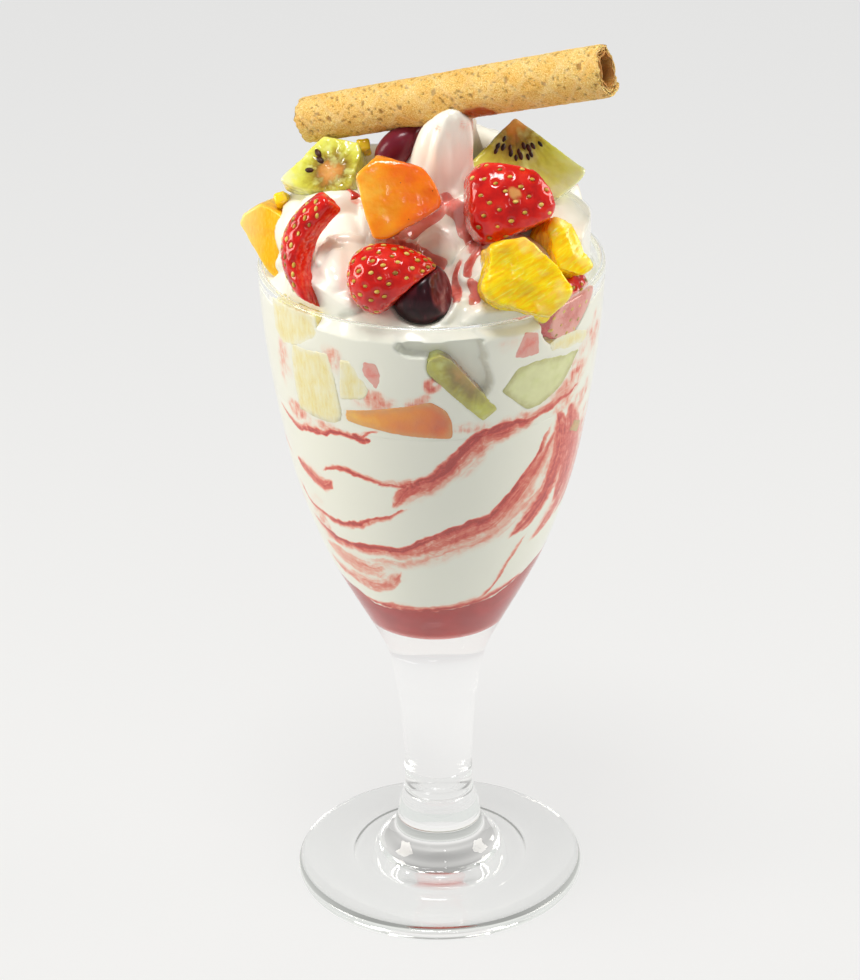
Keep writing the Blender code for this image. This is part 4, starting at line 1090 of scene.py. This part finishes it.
# ---------------------------------------------------------------- whipped cream
# Softly whipped double cream, spooned on in heaps that flop over one another and pushed up into
# a peak under the wafer. Strawberry syrup has run down its hollows. It is put in round the fruit.
CREAM_HEART = np.array([0.0, 0.0, 166.0])
WAFER_LEFT, WAFER_RIGHT = (-31.6, 15.0, 213.9), (43.7, -15.0, 237.4)
WAFER_RADII = (6.0, 6.75)
CREAM_BLEND = 0.6            # how softly two heaps run together, in mm
CREAM_FLOOR = 148.4
FILM = 0.06                  # how far a smear of cream lies over the fruit on the glass
BANK = 2.5                   # steepness of the bank under an overhang
# Heaps: centre and half-sizes (x, y, z, half x, half y, half z).
HEAPS = np.array([
    (0, 0, 165, 48, 48, 26.5), (4, 4, 188, 18, 18, 25), (-24, 6, 185, 17, 16, 16.5),
    (-22, -13, 181, 14, 20, 13.5), (-8, -27, 174, 18, 13, 11.5), (18, -21, 181, 15, 15, 15.5),
    (29, -1, 184, 14, 18, 16), (21, 20, 184, 17, 17, 17), (-2, 27, 184, 18, 14, 17),
    (-23, 23, 183, 16, 15, 15), (3, -8, 190, 12, 10, 9),
    (7.5, 0, 205, 7.5, 7, 12), (0, 0, 200, 8, 8, 10), (37, -7, 185, 8, 12, 10),
    (-30, -2, 190, 9.5, 9, 9), (12, 12, 205, 9, 8, 7), (-12, 14, 198, 11, 10, 9),
    (1.6, -17.2, 190.8, 5.4, 4.8, 4.5), (33, 16, 187, 9, 10, 10), (8, 34, 186, 11, 8, 9),
    (-21, 31, 185, 10, 9, 9), (-36, 12, 181, 7, 10, 9),
], float)
# Folds: lines of (x, y, z, radius) that the spoon dragged up or laid down.
FOLDS = [
    [(6.0, -5.5, 221.8, 2.8), (1.8, -5.8, 218.0, 3.6), (0.8, -5.4, 213.0, 4.8),
     (0.4, -4.2, 206, 5.8), (1.2, -4.8, 199, 6.4)],
    [(8.5, -3.5, 219.0, 3.2), (12.5, -2.5, 217.2, 3.2), (16.0, -1.5, 215.0, 3.4)],
    [(9.2, -2.0, 218.0, 2.6), (8.2, -4.6, 212.5, 3.2), (7.2, -5.6, 206.5, 4.0),
     (5.6, -6.5, 200.5, 4.4)],
    [(4.3, -7.2, 222.4, 1.2), (2.7, -9.0, 218.7, 1.5), (1.7, -9.8, 214.1, 1.7),
     (2.4, -10.0, 209.0, 1.6), (3.8, -10.1, 204.4, 1.4)],
    [(8.6, -6.4, 220.7, 1.4), (9.5, -6.6, 216.2, 1.8), (9.9, -7.4, 211.5, 1.8),
     (8.4, -8.8, 206.8, 1.5)],
    [(-2.5, -9.3, 207.5, 1.2), (0.9, -10.4, 205.6, 1.4), (3.8, -10.1, 203.9, 1.4),
     (5.7, -10.5, 203.1, 1.2)],
    [(0.5, -9.6, 198.6, 2.2), (6.0, -11.6, 199.6, 2.8), (11.0, -13.0, 201.0, 2.8)],
    [(-6.5, -20.5, 184.8, 2.0), (-1.0, -24.6, 184.2, 2.4), (5.4, -24.4, 185.8, 2.2),
     (10.5, -21.5, 188.6, 2.0)],
    [(-22.5, -4.5, 195.6, 4.0), (-21.0, -11.5, 192.2, 4.6), (-18.6, -17.5, 188.2, 4.6)],
    [(-15.0, -9, 195.2, 3.0), (-13.4, -14.5, 193.0, 3.4), (-13.0, -20.0, 188.2, 3.2)],
    [(-29.5, -3.5, 197.2, 3.4), (-24.0, -4.8, 198.2, 4.2), (-18.5, -3.5, 198.4, 3.6)],
    [(-16.9, -6.3, 199.3, 1.6), (-16.5, -9.7, 196.5, 1.8), (-16.4, -14.0, 194.2, 1.6)],
    [(-25.0, -15.8, 193.8, 1.3), (-21.4, -16.1, 194.3, 1.5), (-17.6, -16.1, 193.8, 1.3)],
    [(-27.7, -23.9, 191.0, 0.9), (-27.6, -20.7, 191.9, 1.1), (-26.6, -18.6, 192.8, 1.1),
     (-24.7, -17.4, 193.7, 1.0)],
    [(-23.1, -22.0, 191.8, 2.4), (-23.6, -24.7, 189.6, 3.2), (-23.5, -28.1, 187.1, 3.0)],
    [(-25.6, -30.3, 184.0, 2.4), (-22.5, -30.8, 183.6, 2.8), (-19.8, -31.7, 183.5, 2.4)],
    [(12.0, -24.4, 194.6, 0.7), (10.4, -26.5, 192.9, 0.7), (8.2, -27.1, 190.8, 0.7),
     (7.2, -27.9, 189.0, 0.7), (8.4, -29.9, 188.2, 0.7), (10.6, -31.1, 189.2, 0.7),
     (12.6, -31.0, 191.3, 0.7)],
    [(-8.2, -9.1, 193.4, 0.6), (-8.5, -12.4, 192.7, 0.6), (-7.3, -13.6, 191.8, 0.6),
     (-5.3, -15.1, 192.7, 0.6)],
    [(3.3, -37.1, 181.6, 1.4), (5.2, -35.1, 183.3, 1.8), (8.1, -33.5, 184.4, 1.6)],
    [(8.6, -37.9, 181.1, 1.4), (11.4, -36.9, 183.0, 1.6), (14.4, -35.3, 183.5, 1.4)],
    [(5.8, -13.2, 200.5, 2.0), (7.6, -13.4, 201.8, 1.8)],
    [(7, -34.6, 181.0, 3.0), (13.5, -36.0, 179.6, 4.0), (22.5, -34.4, 178.2, 3.8)],
    [(-1.5, -33.5, 181.0, 2.6), (5.5, -32.4, 182.6, 3.0), (12.0, -31.0, 184.0, 2.6)],
    [(36, -15, 187.0, 3.6), (38.4, -6, 185.8, 4.4), (36.0, 4, 187, 4.2)],
    [(31, 24, 185, 4.2), (24, 30, 186, 5.0), (15, 34.5, 184, 4.4)],
    [(-12, 37, 182, 4.0), (-22, 33.5, 184.5, 4.6), (-31, 24, 184, 4.2)],
    [(-36, 16, 184, 3.6), (-37.5, 7, 183.5, 4.2), (-36.5, -3, 183, 3.6)],
    [(10, 14, 208.5, 3.8), (4, 18, 205.5, 4.6), (-4, 21, 199.5, 4.2)],
]
# Air trapped against the glass: (angle, height, half width, half height) of each shallow bubble.
AIR_POCKETS = [(6.0, 179.0, 13.0, 5.0), (8.0, 173.0, 10.5, 7.5), (14.5, 166.5, 6.0, 6.5),
               (-4.0, 176.5, 9.0, 3.0)]
AIR_DEPTH = 3.2


def far_side(ways, middle, sizes):
    """How far from the cream's heart each unit way leaves an ellipsoid; a way that misses it
    falls off steeply, so that an overhang becomes a steep bank."""
    start, way = (CREAM_HEART - middle) / sizes, ways / sizes
    square = (way**2).sum(-1)
    nearest = -(way @ start) / square
    miss = np.maximum(start @ start - square * nearest**2, 0)
    over = np.sqrt(np.maximum(1 - miss, 0) / square)
    return nearest + over - BANK * np.min(sizes) * np.maximum(np.sqrt(miss) - 1, 0)


def cream_reach(ways):
    """How far the cream reaches from its heart along unit ways: the farthest of the heaps and of
    the balls strung along each fold, rippled by soft noise, and no farther than the bowl."""
    most = [far_side(ways, heap[:3], heap[3:]) for heap in HEAPS]
    for fold in FOLDS:
        balls = smooth_line(fold, 0.8)
        most.append(np.max([far_side(ways, b[:3], np.full(3, b[3])) for b in balls], axis=0))
    reach = blend_out(np.stack(most, -1), CREAM_BLEND)
    spot = CREAM_HEART + reach[..., None] * ways
    drawn = (spot + 2.4 * noise(spot, 9.0, 101)[..., None]) * (1.0, 1.0, 0.75)
    lobes = np.sqrt(noise(drawn, 7.5, 102) ** 2 + 0.004)
    small = np.sqrt(noise(drawn, 3.4, 103) ** 2 + 0.006)
    reach = reach + 1.1 * (lobes - 0.3) + 0.2 * (small - 0.3) + 0.03 * noise(spot, 0.9, 104)
    flat = np.maximum(np.linalg.norm(ways[..., :2], axis=-1), 1e-6)
    for _ in range(6):
        height = CREAM_HEART[2] + reach * ways[..., 2]
        # A film that fades out downwards, and curls away from the wall just below the rim.
        film = (WALL_BITE + 0.012 + FILM * step_up(height, 150, 156)
                - 0.1 * step_up(150.6 - height, 0, 4) - 2.4 * step_up(height, 177.2, 180.4))
        reach = np.minimum(reach, (bowl_radius(np.minimum(height, RIM)) + film) / flat)
    return reach


# Where syrup lies on the cream: route of (x, y, z), half-width in mm, thickness in mm.
SYRUP_RUNS = [
    ([(-7.8, -12.7, 192.3), (-4.7, -14.0, 195.0), (-1.5, -12.8, 197.1), (1.3, -12.5, 199.6),
      (3.5, -12.6, 201.5)], 2.1, 0.15),
    ([(3.5, -11.9, 201.8), (6.2, -14.2, 201.0), (7.9, -14.9, 199.2), (8.7, -15.2, 196.1)], 2.6,
     0.15),
    ([(8.7, -15.2, 196.1), (9.9, -15.6, 193.2), (11.0, -23.1, 194.3)], 1.8, 0.22),
    ([(-10.2, -16.9, 193.3), (-6.6, -14.8, 191.0), (-3.3, -19.2, 191.5), (-0.9, -21.4, 190.8),
      (2.3, -21.6, 189.8)], 1.7, 0.22),
    ([(12.5, -22.7, 195.2), (11.2, -25.5, 193.7), (9.4, -27.1, 191.8), (8.9, -29.0, 189.9)], 1.4,
     0.35),
    ([(6.7, -24.4, 190.4), (6.2, -26.5, 188.6), (5.9, -28.7, 186.1), (6.1, -34.2, 184.8)], 1.3,
     0.3),
    ([(9.8, -31.2, 188.0), (11.0, -32.9, 186.8), (10.2, -33.7, 185.0)], 1.6, 0.25),
    ([(-22.0, -4.0, 201.2), (-19.4, -5.6, 200.6), (-17.0, -7.2, 199.2)], 1.5, 0.8),
    ([(12.5, -3.6, 219.2), (14.6, -3.2, 217.4), (16.0, -3.0, 215.8)], 1.4, 0.45),
    ([(-1.8, 0.0, 216.6), (-3.8, 1.0, 212.4), (-5.0, 1.8, 208.6)], 1.7, 0.5),
    ([(-20.5, 24.0, 199.5), (-15.0, 30.0, 197.5), (-8.0, 34.0, 195.0), (-3.0, 37.0, 190.0)], 2.2,
     0.5),
    ([(30.0, 12.0, 199.5), (34.0, 16.0, 196.5), (38.5, 18.0, 190.5)], 1.8, 0.5),
    ([(-36.0, 12.0, 192.5), (-39.0, 8.0, 189.0), (-41.0, 6.0, 185.0)], 1.6, 0.5),
    ([(14.0, 20.0, 206.0), (14.0, 25.0, 201.5), (12.5, 30.0, 197.0)], 1.6, 0.4),
]
# Fainter smears, where syrup was stirred into the cream: route, half-width, depth of colour.
SMEARS = [
    ([(1.4, -9.0, 221.6), (3.4, -9.0, 219.8), (5.0, -8.6, 217.2)], 0.8, 0.3),
    ([(8.6, -6.0, 220.6), (12.6, -5.0, 218.6), (13.6, -6.0, 215.6), (11.6, -8.6, 213.4)], 2.0,
     0.34),
    ([(10.8, -8.8, 214.4), (9.4, -9.8, 210.6), (8.0, -10.4, 207.4)], 0.8, 0.16),
    ([(-6.8, -13.0, 193.5), (-1.5, -11.9, 197.8), (3.6, -11.6, 201.9), (7.7, -14.8, 201.5)], 2.0,
     0.2),
    ([(-11.5, -17.0, 190.6), (-8.5, -19.5, 188.4), (-4.5, -20.0, 188.4)], 2.6, 0.34),
    ([(-24.4, -8.6, 199.5), (-26.5, -8.9, 197.8)], 0.9, 0.3),
    ([(0.5, -23.5, 188.4), (5.0, -24.2, 188.6), (9.0, -23.4, 190.4)], 1.2, 0.16),
    ([(-26, 22, 197), (-14, 31, 197), (0, 37, 192)], 4.5, 0.3),
    ([(28, 12, 201), (38, 18, 193)], 4.0, 0.26),
]


def route_gap(points, route):
    """Distance of points from a smooth line through a route, in mm."""
    line = smooth_line(route, 1.2)
    near = np.full(points.shape[:-1], 99.0)
    for start, end in zip(line[:-1], line[1:]):
        run = end - start
        part = np.clip((points - start) @ run / (run @ run), 0, 1)
        near = np.minimum(near, np.linalg.norm(points - start - part[..., None] * run, axis=-1))
    return near


def stirred_in(points):
    """Colour of syrup in the cream, 0 to 1: soft round each run and smear, broken by streaks."""
    drawn = points + 0.9 * noise(points, 3.2, 111)[..., None]
    grain = 0.75 + 0.5 * noise(points * (1, 1, 0.4), 1.3, 112)
    amount = np.zeros(points.shape[:-1])
    for route, half_width, thickness in SYRUP_RUNS:
        soft = 1 - step_up(route_gap(drawn, route), 0.4 * half_width, 1.5 * half_width)
        amount = np.maximum(amount, 0.24 * soft)
    for route, half_width, depth in SMEARS:
        soft = 1 - step_up(route_gap(drawn, route), 0.2 * half_width, 1.6 * half_width)
        amount = np.maximum(amount, depth * soft * grain)
    return amount


def tucked(ways, reach):
    """Pulls the cream back inside whatever fruit lies in its way, so that the fruit shows. The
    pull fades in over the outline of the fruit as the heart sees it."""
    reach = reach.copy()
    for name, shape in FRUIT.items():
        middle, span = MIDDLES[name]
        toward = middle - CREAM_HEART
        far = np.linalg.norm(toward)
        near = np.flatnonzero(ways @ (toward / far) > np.cos(np.arctan2(span, far)))
        marks = np.linspace(max(far - span, 4.0), far + span, int(2 * span / 0.7))
        depth = np.stack([shape(CREAM_HEART + m * ways[near]) for m in marks], -1)
        deepest = depth.min(-1)
        last = np.where(depth < 0, marks, 0).max(-1)
        last = np.where(deepest < 0, last, marks[depth.argmin(-1)])
        first = np.where(depth < 0, marks, 999).min(-1)
        back = last - np.minimum(1.3, 0.5 * np.maximum(last - first, 0.6))
        if np.hypot(*middle[:2]) > 33 and middle[2] < 177:
            # A piece against the glass shows there, under ragged borders of cream.
            spot = CREAM_HEART + (reach[near] - 1.4)[:, None] * ways[near]
            ragged = 0.9 + 0.6 * noise(spot, 2.6, 113) + 0.35 * noise(spot, 0.9, 114)
            deepest = shape(spot) + ragged + 1.6 * step_up(spot[:, 2], 175.5, 178.5)
            reach[near] -= 0.16 * step_up(-deepest, -1.3, 0.1)
            deepest = deepest + 1.2
        hidden = step_up(-deepest, -0.25, 0.35)
        pulled = np.minimum(reach[near], back)
        reach[near] += hidden * (pulled - reach[near])
    return reach


def wafer_gap(points):
    """Signed distance from the outside of the wafer roll, taken as solid."""
    run = np.subtract(WAFER_RIGHT, WAFER_LEFT)
    part = np.clip((points - WAFER_LEFT) @ run / (run @ run), 0, 1)
    away = np.linalg.norm(points - WAFER_LEFT - part[..., None] * run, axis=-1)
    return away - (WAFER_RADII[0] + (WAFER_RADII[1] - WAFER_RADII[0]) * part)


# Rings run out from the top, closer together past 68 degrees, where the cream lies on the glass.
around, along = 500, 198
angles = np.linspace(0, 360, around, endpoint=False)
tilt = np.radians(np.concatenate([np.linspace(0, 68, 109)[1:], np.linspace(68, 114, 91)[1:]]))
ways = about_axis(np.sin(tilt)[:, None], np.cos(tilt)[:, None], angles).reshape(-1, 3)
ways = np.concatenate([ways, [(0, 0, 1)]])
reach = tucked(ways, cream_reach(ways))
marks = np.linspace(30, 62, 40)
touch = np.stack([wafer_gap(CREAM_HEART + m * ways) for m in marks], -1) < 0
first = np.where(touch.any(-1), marks[touch.argmax(-1)], 99.0)
reach = np.minimum(reach, first + 0.4)
mound = reach[:-1].reshape(along, around)
points = CREAM_HEART + reach[:, None] * ways
turns = np.degrees(np.arctan2(points[:, 0], -points[:, 1]))
pressed = step_up(np.hypot(points[:, 0], points[:, 1]) - bowl_radius(points[:, 2]) - WALL_BITE,
                  -0.35, -0.05)
pockets = np.full(len(points), -9.0)
for angle, height, half_wide, half_high in AIR_POCKETS:
    wobble = 0.12 * noise(points, 4.0, 121)
    inside = 1 - np.sqrt(((turns - angle) / half_wide) ** 2
                         + ((points[:, 2] - height) / half_high) ** 2)
    pockets = np.maximum(pockets, inside + wobble)
points[:, :2] *= (1 - AIR_DEPTH * step_up(pockets, 0.0, 0.14) * pressed
                  / np.maximum(np.hypot(points[:, 0], points[:, 1]), 9.0))[:, None]
on_wall, flow = marbling(turns, points[:, 2])
low = pressed * (1 - step_up(points[:, 2], 174, 178))
stain = np.maximum(stirred_in(points), low * on_wall)
flow = np.where(low[:, None] > 0, flow, points * (4.0, 0.9, 4.0))
points[:, 2] = np.maximum(points[:, 2], CREAM_FLOOR)
new_piece("whipped_cream_mound", np.concatenate([points, [(0, 0, CREAM_FLOOR)]]),
          closed_faces(along, around, flipped=True), dairy("Whipped double cream", 0.26),
          "whipped_cream", ["cream_top"], sauce=np.append(stain, 0),
          flow=np.append(flow, [(0, 0, 0)], axis=0))

# Strawberry syrup: a clear, sticky red that lies thick in the hollows and hangs in drips, in a
# skin with a rounded edge where it stops.
SYRUP_PATCHES = [(-50, 52, 15, 68), (52, 100, 15, 60), (-112, -70, 20, 60), (150, 215, 20, 70)]


def syrup_height(points):
    """How far syrup stands above the cream: the thickness of its runs, rounded at their edges,
    and below the surface where there is none."""
    drawn = points + 0.5 * noise(points, 2.4, 131)[..., None]
    height = np.full(points.shape[:-1], -0.5)
    for route, half_width, thickness in SYRUP_RUNS:
        gap = route_gap(drawn, route)
        dome = thickness * np.sqrt(np.clip(1 - (gap / half_width) ** 4, 0, 1))
        height = np.maximum(height, np.where(gap < half_width, dome,
                                             -0.5 * (gap - half_width) / 0.4))
    return np.maximum(height, -0.5)


syrup, tree, shader = finish("Strawberry syrup", Roughness=0.08, IOR=1.42, Subsurface_Weight=0.5,
                             Subsurface_Scale=0.0012, Subsurface_Radius=(1.0, 0.25, 0.2),
                             Coat_Weight=1.0, Coat_Roughness=0.03, Coat_IOR=1.45)
depth = add(tree, "Attribute", attribute_name="thickness").outputs["Fac"]
thick = add(tree, "MapRange", {0: depth, 1: 0.0, 2: 0.9})
where = add(tree, "TexCoord").outputs["Object"]
cloud = add(tree, "TexNoise", {"Vector": where, "Scale": 330.0, "Detail": 3.0})
both = add(tree, "Math", {0: thick, 1: cloud}, operation="MULTIPLY")
tone = add(tree, "ValToRGB", {0: both}, stops=[(0.04, "E89A8E"), (0.14, "DA7468"),
                                               (0.32, "C23A2E"), (0.8, "8E1612")])
feed(shader, {"Base Color": tone})
all_points, all_quads, all_thickness, start = [], [], [], 0
for west, east, top, low in SYRUP_PATCHES:
    columns, rows = int((east - west) * 2.9), int((low - top) * 3.9)
    turn, tip = np.meshgrid(np.linspace(west, east, columns),
                            np.radians(np.linspace(top, low, rows)))
    ways = about_axis(np.sin(tip), np.cos(tip), turn).reshape(-1, 3)
    row = np.interp(tip.ravel(), tilt, np.arange(along))
    column = turn.ravel() / 360 * around
    up, left = np.minimum(row.astype(int), along - 2), np.floor(column).astype(int)
    part_down, part_over = row - up, column - left
    reach = sum(mound[up + i, (left + j) % around] * abs(1 - i - part_down)
                * abs(1 - j - part_over) for i in (0, 1) for j in (0, 1))
    spot = CREAM_HEART + reach[:, None] * ways
    height = syrup_height(spot)
    top_side, under = spot + height[:, None] * ways, spot - 1.0 * ways
    quads = grid_faces(rows, columns, closed=False)
    quads = quads[(height > -0.49)[quads].any(axis=1)]
    used = np.unique(quads)
    number = np.full(rows * columns, -1)
    number[used] = np.arange(len(used))
    quads = number[quads]
    # The rim is every edge that no quad has the other way round; a wall closes the skin there.
    edges = np.concatenate([quads[:, [i, (i + 1) % 4]] for i in range(4)])
    codes, back = (edges @ way for way in ((len(used), 1), (1, len(used))))
    start_rim, end_rim = edges[~np.isin(codes, back)].T
    wall = np.stack([start_rim, end_rim, end_rim + len(used), start_rim + len(used)], -1)
    shell = np.concatenate([quads[:, ::-1], quads + len(used), wall])
    all_points += [top_side[used], under[used]]
    all_thickness += [height[used], height[used]]
    all_quads.append(shell + start)
    start += 2 * len(used)
new_piece("strawberry_syrup", np.concatenate(all_points), (np.concatenate(all_quads), []), syrup,
          "sauce", thickness=np.concatenate(all_thickness))

# ---------------------------------------------------------------- wafer roll
# A thin wafer baked between patterned irons and rolled up hot round a rod: brittle, golden and
# full of small blisters, with the iron's slanting grid faint on it. It is laid on the mound.
WAFER_BORE = 3.3
WAFER_SHEET = 0.92           # thickness of the sheet
WAFER_TURNS = 2.75
WAFER_GRID = 6.5             # spacing of the iron's slanting lines
WET_PLACE = (12.8, -8.0, 223.4)   # where the roll lies in syrup

run = np.subtract(WAFER_RIGHT, WAFER_LEFT)
roll_length = np.linalg.norm(run)
roll_way = run / roll_length
roll_front = np.cross((0, 0, 1), roll_way)
roll_front /= -np.linalg.norm(roll_front)
roll_up = np.cross(roll_front, roll_way)
roll_up *= np.sign(roll_up[2])
# The sheet winds outwards: `wound` is 0 at its inner edge and 1 at its outer one.
outer_part = 1 / WAFER_TURNS
wound = np.concatenate([np.linspace(0, 1 - outer_part, 70, endpoint=False),
                        np.linspace(1 - outer_part, 1, 130)])
down_roll = np.linspace(0, 1, 216)
angle = np.radians(-130) - 2 * np.pi * WAFER_TURNS * (wound - 1)
share, turn = np.meshgrid(down_roll, angle, indexing="ij")
wound_grid = np.broadcast_to(wound, share.shape)
outer = WAFER_RADII[0] + (WAFER_RADII[1] - WAFER_RADII[0]) * share + 0.15
flat = np.stack([share * roll_length, turn * outer, wound_grid * 9], -1)
middle = WAFER_BORE + WAFER_SHEET / 2 + (outer - WAFER_SHEET - WAFER_BORE) * wound_grid
middle = middle + 0.14 * noise(flat * (0.3, 1, 1), 6.0, 141)
# Inside, the soft sheet settled against itself, so that the bore is nearer six-sided than round.
middle = middle + (1 - wound_grid) ** 2 * (0.42 * np.cos(6 * turn + 1.0) + 0.3)
blisters = step_up(noise(flat, 0.62, 142) + 0.25 * noise(flat, 2.2, 143), 0.44, 0.66)
swollen = 0.09 * noise(flat, 1.6, 144) + 0.05 * noise(flat, 0.7, 145)
lines = np.minimum(*[np.abs((flat[..., 0] * np.cos(t) + flat[..., 1] * np.sin(t)) % WAFER_GRID
                            - WAFER_GRID / 2) for t in np.radians((38, -38))])
grid_line = 1 - step_up(lines, 0.15, 0.7)
rough = swollen - 0.26 * blisters + 0.06 * grid_line
radius_out = middle + WAFER_SHEET / 2 + rough
radius_in = middle - WAFER_SHEET / 2 + 0.1 * noise(flat + 40, 1.2, 146)
taper = 1 - 0.35 * (1 - step_up(np.minimum(share, 1 - share) * roll_length, 0.0, 0.8))
radius_out, radius_in = (middle + (r - middle) * taper for r in (radius_out, radius_in))
# Broken ends: each layer stops a little short or stands out a little.
torn = 0.7 * noise(flat * (0, 1, 1), 2.6, 147) + 0.35 * noise(flat * (0, 1, 1), 0.9, 148) - 0.55
outwards = np.where(share > 0.5, 1, -1) * step_up(np.abs(share - 0.5), 0.42, 0.5)
along = share * roll_length + outwards * torn


def on_roll(radius, turn, along):
    """World points of the roll from a radius, a turn from its front and a length along it."""
    front, up = radius * np.cos(turn), radius * np.sin(turn)
    return (WAFER_LEFT + along[..., None] * roll_way + front[..., None] * roll_front
            + up[..., None] * roll_up)


def both_sides(outside, inside):
    """One value for each point round the sheet: out over its outer side and back by its inner."""
    return np.concatenate([outside, inside[:, ::-1]], axis=1)


points = both_sides(on_roll(radius_out, turn, along), on_roll(radius_in, turn, along))
rows, columns = points.shape[:2]
# At each end of the roll a strip of quads closes the gap between the sheet's two sides.
near = np.arange(columns // 2 - 1)
strip = np.stack([near, near + 1, columns - 2 - near, columns - 1 - near], -1)
quads = np.concatenate([grid_faces(rows, columns), strip, strip[:, ::-1] + (rows - 1) * columns])
sheet = both_sides(*(np.stack([flat[..., 0], flat[..., 1], outer - radius], -1)
                     for radius in (radius_out, radius_in)))
pits = both_sides(blisters, 0.3 * blisters)
irons = both_sides(grid_line, grid_line)
wet = 1 - step_up(np.linalg.norm((points - WET_PLACE) * (0.72, 0.8, 1.5), axis=-1)
                  + 0.8 * noise(points, 2.2, 149), 2.6, 4.4)
wafer, tree, shader = finish("Baked wafer", Roughness=0.62, IOR=1.45, Subsurface_Weight=0.2,
                             Subsurface_Scale=0.0008, Subsurface_Radius=(1.0, 0.55, 0.25))
place = add(tree, "Attribute", attribute_name="sheet").outputs["Vector"]
crumb = add(tree, "TexNoise", {"Vector": place, "Scale": 2.8, "Detail": 6.0, "Roughness": 0.75})
broad = add(tree, "TexNoise", {"Vector": place, "Scale": 0.16, "Detail": 3.0})
tone = add(tree, "ValToRGB", {0: crumb}, stops=[(0.28, "B0701C"), (0.40, "E2AE48"),
                                                (0.52, "F8D47C"), (0.66, "FFF2C0")])
tan = add(tree, "ValToRGB", {0: broad}, stops=[(0.35, "F6E0AC"), (0.62, "FFFFFF")])
body = add(tree, "Mix", {0: 0.7, 6: tone, 7: tan}, data_type="RGBA", blend_type="MULTIPLY")
# Blisters burst into small dark craters, here no finer than they can be seen.
craters = add(tree, "TexVoronoi", {"Vector": place, "Scale": 2.7, "Randomness": 1.0})
ragged = add(tree, "Math", {0: craters, 1: crumb}, operation="ADD")
pitted = add(tree, "Attribute", attribute_name="pits").outputs["Fac"]
hole = add(tree, "MapRange", {0: ragged, 1: 0.56, 2: 0.64, 3: 1.0, 4: 0.0})
burst = add(tree, "Math", {0: hole, 1: pitted}, operation="MAXIMUM")
spoil = add(tree, "Math", {0: burst, 1: 0.6}, operation="MULTIPLY")
dark = add(tree, "Mix", {0: spoil, 6: body, 7: "7E4A10"}, data_type="RGBA")
pressed = add(tree, "Attribute", attribute_name="irons").outputs["Fac"]
pale = add(tree, "Math", {0: pressed, 1: 0.26}, operation="MULTIPLY")
lined = add(tree, "Mix", {0: pale, 6: dark, 7: "F4DBA4"}, data_type="RGBA")
# Painted shade: the sheet is painted browner the deeper it lies inside the roll, for the shade in
# the bore and between its layers.
parts = add(tree, "SeparateXYZ", {0: place})
deep = add(tree, "MapRange", {0: parts.outputs[2], 1: 1.0, 2: 2.8, 3: 0.0, 4: 0.85})
inner = add(tree, "Mix", {0: deep, 6: lined, 7: "BC7628"}, data_type="RGBA")
wetted = add(tree, "Attribute", attribute_name="wet").outputs["Fac"]
soaked = add(tree, "Mix", {0: wetted, 6: inner, 7: "B4541A"}, data_type="RGBA")
shine = add(tree, "MapRange", {0: wetted, 3: 0.62, 4: 0.15})
feed(shader, {"Base Color": soaked, "Roughness": shine})
height = add(tree, "Math", {0: crumb, 1: hole}, operation="SUBTRACT")
feed(shader, {"Normal": add(tree, "Bump", {"Height": height, "Strength": 0.9,
                                           "Distance": 0.35 * MM})})
new_piece("rolled_wafer", points.reshape(-1, 3), (quads, []), wafer, "wafer", ["wafer_roll"],
          sheet=sheet.reshape(-1, 3), pits=pits.ravel(), irons=irons.ravel(), wet=wet.ravel())
